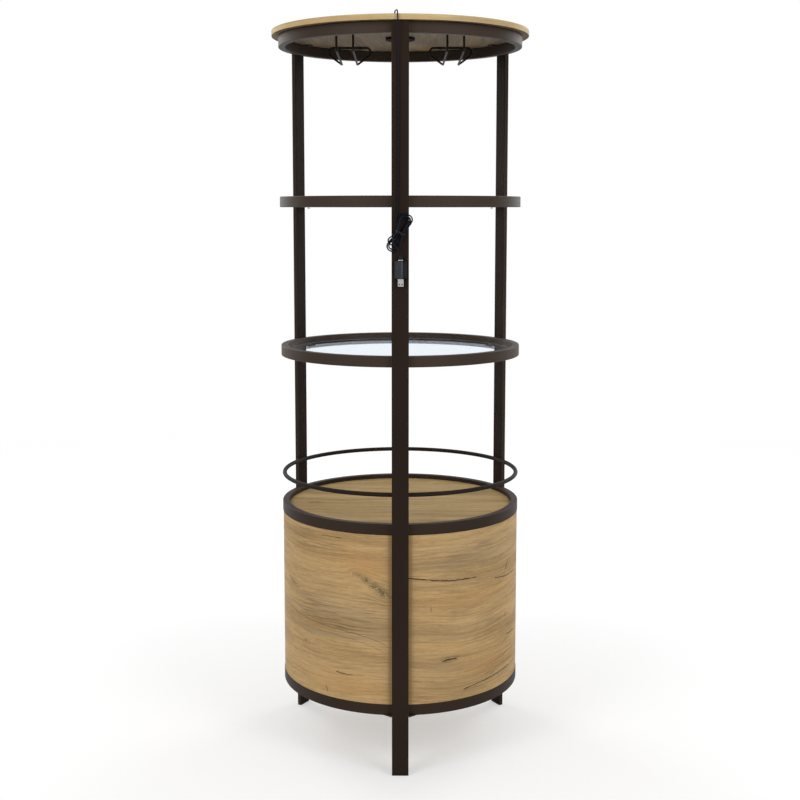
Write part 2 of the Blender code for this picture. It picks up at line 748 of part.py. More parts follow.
def make_hinge(name, door, level, pivot, finishes):
    side = door["side"]
    steel = finishes["bronze"]
    place = (*hinge_axis(door), level)
    lower, middle, upper = knuckle_spans()

    against_post = -side * HINGE_RADIUS
    post_offset = (against_post, against_post + side * HINGE_LEAF_THICKNESS)
    post_reach = POST_OUTER - HINGE_OUT
    hinge_leaf(name + "_post_leaf", (lower, upper), post_offset, post_reach, door["post"], place, steel)

    swing_in = math.degrees(math.asin((HINGE_ACROSS + HINGE_DOOR_LEAF / 2) / WALL_OUTER))
    axis_out = hinge_axis(door).dot(Vector(polar(1.0, door["post"] + side * swing_in)))
    inner = axis_out - (WALL_OUTER + FIT)
    door_offset = (side * inner, side * (inner - HINGE_LEAF_THICKNESS))
    door_turn = door["post"] + side * (90.0 + swing_in)
    leaf = hinge_leaf(name + "_door_leaf", (middle,), door_offset, HINGE_DOOR_LEAF, door_turn, place, steel)
    hang_on(leaf, pivot)

    half = HINGE_HEIGHT / 2
    profile = [
        (0.0, -half),
        (HINGE_PIN_RADIUS, -half),
        (HINGE_PIN_RADIUS, half + FIT),
        (HINGE_RADIUS, half + FIT),
        (HINGE_RADIUS, half + FIT + HINGE_PIN_HEAD),
        (0.0, half + FIT + HINGE_PIN_HEAD),
    ]
    finish_mesh(name + "_pin", turned_mesh(profile, 12), finishes["steel"], place)


def make_doors(finishes):
    levels = {"lower": DOOR_LEVEL + HINGE_INSET, "upper": DOOR_TOP - HINGE_INSET}
    for name, door in DOORS.items():
        pivot = make_pivot(name, door)
        make_door(name, door, pivot, finishes)
        make_pull(name, door, pivot, finishes)
        make_strike(name, door, pivot, finishes)
        for place, level in levels.items():
            make_hinge(name + "_" + place + "_hinge", door, level, pivot, finishes)
    make_catch(finishes)


# Stemware racks

def make_rack(name, centre, finishes):
    """One bent wire that hangs from the top panel: two rails, open to the front."""
    under = TOP_UNDERSIDE - FIT
    rail = TOP_UNDERSIDE - RACK_DROP
    bar = under - RACK_WIRE_RADIUS
    half = RACK_GAUGE / 2
    wide = RACK_BAR_WIDTH / 2
    right_side = [
        (half, RACK_REAR, under - RACK_FLANGE_THICKNESS / 2),
        (half, RACK_REAR, rail),
        (half, -RACK_TIP, rail),
        (wide, -RACK_BAR, bar - RACK_KICK),
        (wide, -RACK_BAR, bar),
    ]
    left_side = [(-x, y, z) for x, y, z in right_side]
    corners = [(centre + x, y, z) for x, y, z in right_side + left_side[::-1]]
    path = bent_path(corners, RACK_BEND)
    rack = as_mesh(tube_curve(name, path, RACK_WIRE_RADIUS, 8, finishes["wire"]))
    flange = circle_plan(RACK_FLANGE_RADIUS, 16)
    for x in (centre - half, centre + half):
        mesh = prism_mesh(flange, under - RACK_FLANGE_THICKNESS, under)
        combine(rack, finish_mesh("flange", mesh, finishes["wire"], (x, RACK_REAR, 0.0)), "UNION")
    for x in (centre - RACK_LUG_SPACING / 2, centre + RACK_LUG_SPACING / 2):
        size = (*RACK_LUG, RACK_FLANGE_THICKNESS)
        place = (x, -RACK_BAR, under - RACK_FLANGE_THICKNESS / 2)
        combine(rack, finish_mesh("lug", box_mesh(size, (0.0, 0.0, 0.0)), finishes["wire"], place), "UNION")


# Light and its cord

def make_puck(finishes):
    high = TOP_UNDERSIDE - FIT
    low = high - PUCK_HEIGHT
    recess = low + LENS_HEIGHT + FIT
    housing = [
        (0.0, recess),
        (LENS_RADIUS + FIT, recess),
        (LENS_RADIUS + FIT, low),
        (PUCK_RADIUS, low),
        (PUCK_RADIUS, high),
        (0.0, high),
    ]
    finish_mesh("led_puck", turned_mesh(housing, 32), finishes["plastic"])
    lens = [(0.0, low), (LENS_RADIUS, low), (LENS_RADIUS, low + LENS_HEIGHT), (0.0, low + LENS_HEIGHT)]
    finish_mesh("led_lens", turned_mesh(lens, 32), finishes["lens"])


def make_grommet(finishes):
    flange_low = TOP_SURFACE + FIT
    profile = [
        (GROMMET_BORE_RADIUS, TOP_UNDERSIDE + FIT),
        (GROMMET_BARREL_RADIUS, TOP_UNDERSIDE + FIT),
        (GROMMET_BARREL_RADIUS, flange_low),
        (GROMMET_FLANGE_RADIUS, flange_low),
        (GROMMET_FLANGE_RADIUS, flange_low + GROMMET_FLANGE_HEIGHT),
        (GROMMET_BORE_RADIUS, flange_low + GROMMET_FLANGE_HEIGHT),
    ]
    finish_mesh("cable_grommet", turned_mesh(profile, 16, closed=True), finishes["plastic"],
                (OUTLET_X, OUTLET_Y, 0.0))


def smooth_route(route, step):
    """Points a step apart on one smooth curve through the route's own points.

    The first and the last leg of the route stay straight, and the curve leaves them in line.
    """
    knots = np.array([tuple(point) for point in route[1:-1]])
    chord = np.linalg.norm(np.diff(knots, axis=0), axis=1)
    at = np.concatenate([[0.0], np.cumsum(np.sqrt(chord))])
    slopes = np.gradient(knots, at, axis=0)
    first_leg = np.array(tuple(Vector(route[1]) - Vector(route[0])))
    last_leg = np.array(tuple(Vector(route[-1]) - Vector(route[-2])))
    slopes[0] = first_leg / np.linalg.norm(first_leg) * np.linalg.norm(slopes[0])
    slopes[-1] = last_leg / np.linalg.norm(last_leg) * np.linalg.norm(slopes[-1])
    fine = []
    for i in range(len(knots) - 1):
        span = at[i + 1] - at[i]
        for t in np.linspace(0.0, 1.0, 40, endpoint=False):
            a = 2 * t ** 3 - 3 * t ** 2 + 1
            b = t ** 3 - 2 * t ** 2 + t
            c = -2 * t ** 3 + 3 * t ** 2
            d = t ** 3 - t ** 2
            fine.append(a * knots[i] + b * span * slopes[i] + c * knots[i + 1] + d * span * slopes[i + 1])
    fine.append(knots[-1])
    fine = np.array(fine)
    length = np.concatenate([[0.0], np.cumsum(np.linalg.norm(np.diff(fine, axis=0), axis=1))])
    count = max(2, round(length[-1] / step) + 1)
    targets = np.linspace(0.0, length[-1], count)
    curve = [Vector([np.interp(s, length, fine[:, k]) for k in range(3)]) for s in targets]
    return [Vector(route[0])] + curve + [Vector(route[-1])]


def lead_route():
    """Lead from the puck along the underside of the top panel, and up into the outlet."""
    flat = TOP_UNDERSIDE - FIT - CORD_RADIUS
    stretch = CLIP_Y - PUCK_RADIUS
    return [
        (0.0, PUCK_RADIUS + FIT, flat - 0.0010),
        (0.0005, PUCK_RADIUS + 0.010, flat - 0.0006),
        (CLIP_X * 0.25, PUCK_RADIUS + stretch * 0.35, flat),
        (CLIP_X * 0.60, PUCK_RADIUS + stretch * 0.65, flat),
        (CLIP_X - 0.0004, CLIP_Y - CLIP_LENGTH, flat),
        (CLIP_X, CLIP_Y, flat),
        (CLIP_X + 0.0004, CLIP_Y + CLIP_LENGTH, flat),
        (OUTLET_X - 0.0010, OUTLET_Y - CLIP_FROM_OUTLET / 2, flat),
        (OUTLET_X, OUTLET_Y - 0.0320, flat - 0.0012),
        (OUTLET_X + 0.0001, OUTLET_Y - 0.0180, flat - 0.0060),
        (OUTLET_X + 0.0001, OUTLET_Y - 0.0080, flat - 0.0074),
        (OUTLET_X, OUTLET_Y - 0.0018, flat - 0.0040),
        (OUTLET_X, OUTLET_Y, flat + 0.0030),
        (OUTLET_X, OUTLET_Y, TOP_SURFACE),
        (OUTLET_X, OUTLET_Y, TOP_SURFACE + FIT + GROMMET_FLANGE_HEIGHT),
    ]


def make_lead(finishes):
    route = smooth_route(lead_route(), CORD_STEP * 0.6)
    tube_curve("led_lead", route, CORD_RADIUS, 8, finishes["cord"])


def make_clip(finishes):
    """Saddle that holds the lead to the top panel."""
    under = TOP_UNDERSIDE - FIT
    inner = CORD_RADIUS + FIT
    outer = inner + CLIP_THICKNESS
    wing = outer + CLIP_FOOT
    drop = CORD_RADIUS
    arch = [polar(outer, 180.0 + 30.0 * i) for i in range(7)]
    hollow = [polar(inner, 360.0 - 30.0 * i) for i in range(7)]
    outline = [(-wing, 0.0), (-wing, -CLIP_THICKNESS), (-outer, -CLIP_THICKNESS)]
    outline += [(x, z - drop) for x, z in arch]
    outline += [(outer, -CLIP_THICKNESS), (wing, -CLIP_THICKNESS), (wing, 0.0), (inner, 0.0)]
    outline += [(x, z - drop) for x, z in hollow]
    outline += [(-inner, 0.0)]
    bm = prism_mesh(outline, -CLIP_LENGTH / 2, CLIP_LENGTH / 2)
    upright = Matrix.Rotation(math.radians(90.0), 4, "X")
    bmesh.ops.transform(bm, matrix=upright, verts=bm.verts[:])
    finish_mesh("lead_clip", bm, finishes["plastic"], (CLIP_X, CLIP_Y, under))


def hank_frame():
    """Waist point, and the unit vectors across, away from the post and along the hank."""
    x, z = HANK_WAIST_POINT
    depth = POST_OUTER + FIT + TIE_THICKNESS + TIE_CLEARANCE + CORD_RADIUS
    tilt = math.radians(HANK_TILT)
    across = Vector((math.cos(tilt), 0.0, math.sin(tilt)))
    along = Vector((-math.sin(tilt), 0.0, math.cos(tilt)))
    return Vector((x, depth, z)), across, Vector((0.0, 1.0, 0.0)), along


def ease(value):
    """Smooth step from 0 to 1."""
    t = min(max(value, 0.0), 1.0)
    return t * t * (3.0 - 2.0 * t)


def hank_turns():
    return HANK_LAYERS * HANK_TURNS_IN_LAYER


def hank_point(phase):
    """Point of the hank's loops, after so many turns, in the hank's own frame.

    The loops spiral in and out again by one pitch a turn, are drawn in at the waist, and
    climb a layer in the half turn where the spiral reverses, and once more before the end.
    """
    position = phase / HANK_TURNS_IN_LAYER
    layer = min(max(int(position), 0), HANK_LAYERS - 1)
    within = position - layer
    spread = (1.0 - within) if layer % 2 == 0 else within
    step_out = spread * HANK_TURNS_IN_LAYER * HANK_PITCH
    reversals = [HANK_TURNS_IN_LAYER * k for k in range(1, HANK_LAYERS)]
    starts = [turn - HANK_CLIMB_TURNS / 2 for turn in reversals] + [hank_turns() - HANK_CLIMB_TURNS]
    climbs = sum(ease((phase - start) / HANK_CLIMB_TURNS) for start in starts)
    angle = 2.0 * math.pi * phase
    waist = HANK_WAIST + step_out
    lobe = HANK_LOBE + 2.0 * step_out
    x = math.cos(angle) * (waist + (lobe - waist) * math.sin(angle) ** 2)
    z = -(HANK_HALF_LENGTH + step_out) * math.sin(angle)
    return Vector((x, climbs * HANK_LAYER_PITCH, z))


def hank_path(steps):
    """World points of the hank's tube, with a straight cord's width at each end."""
    lead = HANK_LEAD / (2.0 * math.pi * HANK_HALF_LENGTH)
    start = -lead
    end = hank_turns() + lead
    count = round((end - start) * steps)
    waist, across, away, along = hank_frame()
    points = []
    for i in range(count + 1):
        local = hank_point(start + (end - start) * i / count)
        points.append(waist + across * local.x + away * local.y + along * local.z)
    entry = (points[0] - points[1]).normalized() * 2 * CORD_RADIUS
    leave = (points[-1] - points[-2]).normalized() * 2 * CORD_RADIUS
    return [points[0] + entry] + points + [points[-1] + leave]


def least_gap(points, diameter):
    """Least clear gap between parts of a path that lie more than a few diameters apart along it."""
    places = np.array([tuple(point) for point in points])
    along = np.concatenate([[0.0], np.cumsum(np.linalg.norm(np.diff(places, axis=0), axis=1))])
    least = math.inf
    for i in range(len(places)):
        far = along - along[i] > 4.0 * diameter
        if far.any():
            least = min(least, np.linalg.norm(places[far] - places[i], axis=1).min())
    return least - diameter


def make_cord(finishes):
    """The free cord: over the panel's edge, down the post, the hank, and the tail to the plug."""
    hank = hank_path(HANK_STEPS)
    start_way = (hank[1] - hank[0]).normalized()
    end_way = (hank[-1] - hank[-2]).normalized()
    hank_start = hank[0] - start_way * FIT
    hank_end = hank[-1] + end_way * FIT
    over = [(x, TOP_RADIUS + y, TOP_SURFACE + z) for x, y, z in ROUTE_OVER_EDGE]
    down = [(x, POST_OUTER + y, z) for x, y, z in ROUTE_DOWN_POST]
    run = over + down + [hank_start - start_way * 2 * CORD_RADIUS, hank_start]
    tube_curve("usb_cable", smooth_route(run, CORD_STEP), CORD_RADIUS, 8, finishes["cord"])
    tube_curve("cable_hank", hank, CORD_RADIUS, 6, finishes["cord"])
    entry = Vector((PLUG_X, plug_depth(), PLUG_TOP + COLLAR_SIZE[2] + FIT))
    tail = [hank_end, hank_end + end_way * 2 * CORD_RADIUS]
    tail += [(x, POST_OUTER + y, z) for x, y, z in ROUTE_TAIL]
    tail += [entry + Vector((0.0, 0.0, 2 * CORD_RADIUS)), entry]
    tube_curve("cable_tail", smooth_route(tail, CORD_STEP * 0.8), CORD_RADIUS, 8, finishes["cord"])
    gap = least_gap(hank_path(HANK_STEPS * 8), 2 * CORD_RADIUS)
    print("least gap of the hank to itself: %.2f mm" % (gap * 1000.0))


def make_tie(finishes):
    """Flat tie round the hank's waist."""
    waist, across, away, along = hank_frame()
    half_width = HANK_WAIST + HANK_TURNS_IN_LAYER * HANK_PITCH + CORD_RADIUS + TIE_CLEARANCE + FIT
    back = -CORD_RADIUS - TIE_CLEARANCE
    front = HANK_LAYERS * HANK_LAYER_PITCH + CORD_RADIUS + TIE_CLEARANCE
    depth = front - back
    inner = rounded_rectangle(2 * half_width, depth, TIE_CORNER - TIE_THICKNESS)
    outer = rounded_rectangle(2 * (half_width + TIE_THICKNESS), depth + 2 * TIE_THICKNESS, TIE_CORNER)
    bm = band_mesh(outer, inner, -TIE_HEIGHT / 2, TIE_HEIGHT / 2, True)
    centre = waist + away * (front + back) / 2
    tie = finish_mesh("cable_tie", bm, finishes["plastic"], centre)
    tie.rotation_euler = (0.0, -math.radians(HANK_TILT), 0.0)


def plug_depth():
    """How far back the plug's middle hangs."""
    return POST_OUTER + PLUG_STANDOFF + PLUG_SIZE[1] / 2


def make_plug(finishes):
    """Plug body with the collar that its cord enters, and the shell below it."""
    depth = plug_depth()
    width, thickness, height = PLUG_SIZE
    place = (PLUG_X, depth, PLUG_TOP)
    body = finish_mesh("usb_plug_body",
                       prism_mesh(rounded_rectangle(width, thickness, PLUG_CORNER), -height, 0.0),
                       finishes["plastic"], place)
    collar_size = (COLLAR_SIZE[0], COLLAR_SIZE[1], 2 * COLLAR_SIZE[2])
    collar = finish_mesh("collar", box_mesh(collar_size, (0.0, 0.0, 0.0)), finishes["steel"], place)
    combine(body, collar, "UNION")
    shell_place = (PLUG_X, depth, PLUG_TOP - height - FIT - SHELL_SIZE[2] / 2)
    shell = finish_mesh("usb_plug_shell", box_mesh(SHELL_SIZE, (0.0, 0.0, 0.0)),
                        finishes["steel"], shell_place)
    hollow = (SHELL_SIZE[0] - 2 * SHELL_WALL, SHELL_SIZE[1] - 2 * SHELL_WALL, 2 * SHELL_MOUTH)
    mouth = finish_mesh("mouth", box_mesh(hollow, (0.0, 0.0, -SHELL_SIZE[2] / 2)),
                        finishes["steel"], shell_place)
    combine(shell, mouth, "DIFFERENCE")


def clear_scene():
    for piece in list(bpy.data.objects):
        bpy.data.objects.remove(piece)


def shade_round_pieces():
    for piece in bpy.context.scene.objects:
        if piece.type == "MESH":
            smooth(piece)


def main():
    clear_scene()
    finishes = make_materials()
    make_rings(finishes)
    make_posts(finishes)
    make_gallery(finishes)
    make_top_panel(finishes)
    make_top_screws(finishes)
    make_shelf("lower", LOWER_SHELF_LEVEL, finishes)
    make_shelf("upper", UPPER_SHELF_LEVEL, finishes)
    make_cabinet_boards(finishes)
    make_back_panels(finishes)
    make_doors(finishes)
    make_rack("left_glass_rack", -RACK_CENTRE, finishes)
    make_rack("right_glass_rack", RACK_CENTRE, finishes)
    make_puck(finishes)
    make_grommet(finishes)
    make_lead(finishes)
    make_clip(finishes)
    make_cord(finishes)
    make_tie(finishes)
    make_plug(finishes)
    shade_round_pieces()


main()
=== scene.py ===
"""Looks of the round bar cabinet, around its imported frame. Metres, +Z up."""

import math

import bmesh
import bpy
from mathutils import Matrix, Vector


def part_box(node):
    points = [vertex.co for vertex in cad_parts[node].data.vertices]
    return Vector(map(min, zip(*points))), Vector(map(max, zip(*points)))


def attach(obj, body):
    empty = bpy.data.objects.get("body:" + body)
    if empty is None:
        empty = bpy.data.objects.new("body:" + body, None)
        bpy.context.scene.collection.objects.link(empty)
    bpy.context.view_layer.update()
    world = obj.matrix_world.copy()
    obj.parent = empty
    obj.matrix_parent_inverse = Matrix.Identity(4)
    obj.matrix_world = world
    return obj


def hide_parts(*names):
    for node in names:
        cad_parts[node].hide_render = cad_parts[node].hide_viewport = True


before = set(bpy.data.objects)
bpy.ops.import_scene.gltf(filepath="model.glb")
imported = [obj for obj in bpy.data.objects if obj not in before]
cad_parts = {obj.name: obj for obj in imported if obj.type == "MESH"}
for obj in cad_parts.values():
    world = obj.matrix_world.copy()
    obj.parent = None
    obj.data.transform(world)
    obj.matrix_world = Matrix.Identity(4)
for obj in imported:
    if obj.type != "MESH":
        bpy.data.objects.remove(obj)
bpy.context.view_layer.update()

ROUND = 240
FIT = 0.0003
POSTS = {"rear": 90.0, "left_front": 210.0, "right_front": 330.0}
SIDES = (-1.0, 1.0)


def low(node):
    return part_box(node)[0]


def high(node):
    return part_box(node)[1]


def middle(node):
    return (low(node) + high(node)) / 2


def heights(node):
    return low(node).z, high(node).z


# Sizes that come from the frame
RING_OUTER = high("upper_shelf_ring").x
RING_HEIGHT = high("upper_shelf_ring").z - low("upper_shelf_ring").z
POST_INNER = low("rear_post").y
POST_OUTER = high("rear_post").y
POST_WIDTH = high("rear_post").x - low("rear_post").x
POST_THICKNESS = POST_OUTER - POST_INNER
TOP_RADIUS = high("top_panel").x
TOP_UNDERSIDE, TOP_SURFACE = heights("top_panel")
GLASS_RADIUS = high("upper_glass_shelf").x
BOARD_RADIUS = high("cabinet_top_panel").x
PUCK_RADIUS = high("led_puck").x
LENS_RADIUS = high("led_lens").x
OUTLET = middle("cable_grommet")

# Sizes that boxes don't give, as in the part's source
RING_DEPTH = 0.0165
RING_INNER = RING_OUTER - RING_DEPTH
BAND_CORNER = 0.0018
POST_CORNER = 0.0016
TAB_WIDTH = 0.016
TAB_REACH = 0.018
TAB_THICKNESS = 0.0025
TAB_HOLE_REACH = RING_INNER - 0.0075
GUSSET_SPREAD = 0.021
GUSSET_THICKNESS = 0.003
WALL_OUTER = 0.2865
WALL_INNER = 0.2715
WALL_SEAM = 0.0016
DOOR_GAP = 0.002
DOOR_EDGE = 0.0233
CORD_RADIUS = 0.0015

# Camera: the photograph shows the back, so it stands at +Y
CAMERA_PLACE = (0.0005, 3.141, 1.288)
CAMERA_PITCH = 6.79
CAMERA_LENS = 58.47
CAMERA_SHIFT = -0.045
CAMERA_SENSOR = 36.0


def add_object(name, data):
    made = bpy.data.objects.new(name, data)
    bpy.context.scene.collection.objects.link(made)
    return made


def make_camera():
    data = bpy.data.cameras.new("camera")
    data.lens = CAMERA_LENS
    data.sensor_width = CAMERA_SENSOR
    data.shift_y = CAMERA_SHIFT
    camera = add_object("camera", data)
    camera.location = CAMERA_PLACE
    camera.rotation_euler = (math.radians(90.0 - CAMERA_PITCH), 0.0, math.radians(180.0))
    bpy.context.scene.camera = camera


make_camera()


# Mesh helpers

def polar(radius, degrees):
    angle = math.radians(degrees)
    return radius * math.cos(angle), radius * math.sin(angle)


def turn(degrees, axis="Z"):
    return Matrix.Rotation(math.radians(degrees), 4, axis)


def shift(x, y, z):
    return Matrix.Translation((x, y, z))


UPRIGHT = turn(90.0, "X")
FACE_DOWN = turn(180.0, "X")


def circle(radius, height, steps=ROUND):
    return [(*polar(radius, 360.0 * i / steps), height) for i in range(steps)]


def half_round(radius, centre=0.0):
    """Lower half of a circle, towards +x."""
    arc = [polar(radius, 180.0 + 15.0 * i) for i in range(13)]
    return [(x, centre + y) for x, y in arc]


def rounded(width, depth, corner, steps=4, centre=(0.0, 0.0)):
    """Outline of a rectangle with round corners, counter-clockwise."""
    points = []
    for side_x, side_y, start in ((1, 1, 0), (-1, 1, 90), (-1, -1, 180), (1, -1, 270)):
        for i in range(steps + 1):
            dx, dy = polar(corner, start + 90.0 * i / steps)
            points.append((centre[0] + side_x * (width / 2 - corner) + dx,
                           centre[1] + side_y * (depth / 2 - corner) + dy))
    return points


def inset(outline, amount):
    """Counter-clockwise outline moved inwards by an amount."""
    moved = []
    for i, point in enumerate(outline):
        here = Vector(point)
        back = (here - Vector(outline[i - 1])).normalized()
        ahead = (Vector(outline[(i + 1) % len(outline)]) - here).normalized()
        left = Vector((-back.y - ahead.y, back.x + ahead.x)) / (1.0 + back.dot(ahead))
        moved.append(tuple(here + left * amount))
    return moved


def loft(bm, loops, closed=False, matrix=None, side=0, ends=None):
    """Skin over loops of as many points each, with a cap on both ends unless it closes on itself."""
    place = matrix or Matrix()
    rows = [[bm.verts.new(place @ Vector(point)) for point in loop] for loop in loops]
    for i in range(0 if closed else 1, len(rows)):
        before, after = rows[i - 1], rows[i]
        for k in range(len(before)):
            bm.faces.new((before[k - 1], before[k], after[k], after[k - 1])).material_index = side
    if not closed:
        for cap in (rows[0][::-1], rows[-1]):
            bm.faces.new(cap).material_index = side if ends is None else ends


def easing(edge):
    """Steps of a rounded edge: distance from the end, and how far the outline is moved in."""
    return [(0.0, edge), (0.29 * edge, 0.29 * edge), (edge, 0.0)]


def plate(bm, outline, bottom, top, edge, matrix=None, side=0, ends=None):
    """Solid over a plan outline, with its upper and lower edges eased."""
    levels = [(bottom + distance, amount) for distance, amount in easing(edge)]
    levels += [(top - distance, amount) for distance, amount in easing(edge)[::-1]]
    loops = [[(*point, level) for point in inset(outline, amount)] for level, amount in levels]
    loft(bm, loops, False, matrix, side, ends)


def disc(bm, radius, bottom, top, edge, matrix=None, steps=ROUND, side=0, ends=None):
    outline = [point[:2] for point in circle(radius, 0.0, steps)]
    plate(bm, outline, bottom, top, edge, matrix, side, ends)


def turned(bm, profile, steps=ROUND, closed=False, matrix=None, side=0):
    """Turned solid from (radius, height) points, with flat ends unless it closes on itself."""
    loft(bm, [circle(radius, height, steps) for radius, height in profile], closed, matrix, side)


def pipe(bm, path, radius, sides, closed=False, swell=None, matrix=None):
    """Round tube along a path; swell gives its thickness from 0 to 1 along the path."""
    path = [Vector(point) for point in path]
    count = len(path)
    side = None
    loops = []
    for i, point in enumerate(path):
        before = path[i - 1] if closed or i else point
        after = path[(i + 1) % count] if closed or i < count - 1 else point
        along = (after - before).normalized()
        side = side or along.orthogonal()
        side = (side - along * side.dot(along)).normalized()
        other = along.cross(side)
        size = radius * (swell(i / (count - 1)) if swell else 1.0)
        spokes = [polar(size, 360.0 * k / sides) for k in range(sides)]
        loops.append([point + side * x + other * y for x, y in spokes])
    loft(bm, loops, closed, matrix)


def weld(bm, start, end, radius, matrix):
    """Rippled weld bead between two points."""
    start, end = Vector(start), Vector(end)
    count = max(8, round((end - start).length / 0.0007))
    path = [start.lerp(end, i / count) for i in range(count + 1)]

    def swell(t):
        rise = min(1.0, 0.35 + 6.0 * min(t, 1.0 - t))
        return rise * (1.0 + 0.07 * math.sin(t * count * 1.9))

    pipe(bm, path, radius, 10, swell=swell, matrix=matrix)


def cross_reach(degrees, reach, half):
    """Radius of a cross-shaped outline in one direction."""
    angle = math.radians((degrees + 45.0) % 90.0 - 45.0)
    return min(reach / math.cos(angle), half / max(abs(math.sin(angle)), 0.0001))


def screw(bm, radius, height, matrix, material=0):
    """Screw head with a cross recess; its seat is at local z = 0."""
    steps = 48
    cross = [360.0 * i / steps for i in range(steps)]

    def recess(share, level):
        size = radius * share
        return [(*polar(cross_reach(a, 0.58 * size, 0.16 * size), a), level) for a in cross]

    loops = [circle(radius * share, height * rise, steps) for share, rise in (
        (1.0, -0.2), (1.0, 0.12), (0.95, 0.45), (0.82, 0.78), (0.68, 0.92))]
    loops += [recess(1.0, height), recess(0.75, height * 0.35), recess(0.5, height * 0.1)]
    loft(bm, loops, matrix=matrix, side=material)


def bent_path(corners, radius, steps):
    """Path of bent wire: straight runs with an arc at each corner."""
    corners = [Vector(corner) for corner in corners]
    path = corners[:1]
    for before, corner, after in zip(corners, corners[1:], corners[2:]):
        back = (before - corner).normalized()
        ahead = (after - corner).normalized()
        half = back.angle(ahead) / 2
        tangent = radius / math.tan(half)
        centre = corner + (back + ahead).normalized() * (radius / math.sin(half))
        start = (corner + back * tangent - centre).normalized()
        end = (corner + ahead * tangent - centre).normalized()
        path += [centre + start.slerp(end, i / steps) * radius for i in range(steps + 1)]
    return path + corners[-1:]


def mesh_object(name, bm):
    bmesh.ops.recalc_face_normals(bm, faces=bm.faces[:])
    mesh = bpy.data.meshes.new(name)
    bm.to_mesh(mesh)
    bm.free()
    return add_object(name, mesh)


def shade(piece):
    piece.data.shade_smooth()
    piece.data.set_sharp_from_angle(angle=math.radians(32.0))
    piece.modifiers.new("normals", "WEIGHTED_NORMAL").keep_sharp = True


def register(piece, nodes, body="frame"):
    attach(piece, body)
    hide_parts(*nodes)
    return piece


def finish_piece(name, bm, finishes, nodes, body="frame"):
    """Close a bmesh into a piece that rides on a body and stands for CAD nodes."""
    piece = mesh_object(name, bm)
    for finish in finishes:
        piece.data.materials.append(finish)
    shade(piece)
    return register(piece, nodes, body)


def cut(piece, bm):
    """Cut a tool's shape out of a piece."""
    tool = mesh_object("tool", bm)
    piece.modifiers.clear()
    modifier = piece.modifiers.new("cut", "BOOLEAN")
    modifier.operation = "DIFFERENCE"
    modifier.solver = "EXACT"
    modifier.object = tool
    bpy.context.view_layer.update()
    result = bpy.data.meshes.new_from_object(piece.evaluated_get(bpy.context.evaluated_depsgraph_get()))
    piece.modifiers.clear()
    piece.data = result
    bpy.data.objects.remove(tool)
    shade(piece)


# Finishes

SEEN_RAYS = ("Is Camera Ray", "Is Glossy Ray", "Is Transmission Ray")
WHITE = (1.0, 1.0, 1.0, 1.0)
# Colours that the oak decor mixes in, from its warm and grey clouds to its cracks
OAK_WARM = (0.47, 0.275, 0.105)
OAK_GREY = (0.36, 0.27, 0.16)
OAK_LINE = (0.215, 0.150, 0.085)
OAK_PORE = (0.17, 0.11, 0.055)
OAK_HAZE = (0.24, 0.19, 0.10)
OAK_VEIN = (0.062, 0.052, 0.030)
OAK_CRACK = (0.036, 0.029, 0.024)


class Value:
    """An output of a node. Its sums, differences, products and quotients are nodes too."""

    def __init__(self, graph, socket):
        self.graph = graph
        self.socket = socket

    def __add__(self, other):
        return self.graph.math("ADD", self, other)

    def __sub__(self, other):
        return self.graph.math("SUBTRACT", self, other)

    def __mul__(self, other):
        return self.graph.math("MULTIPLY", self, other)

    def __truediv__(self, other):
        return self.graph.math("DIVIDE", self, other)


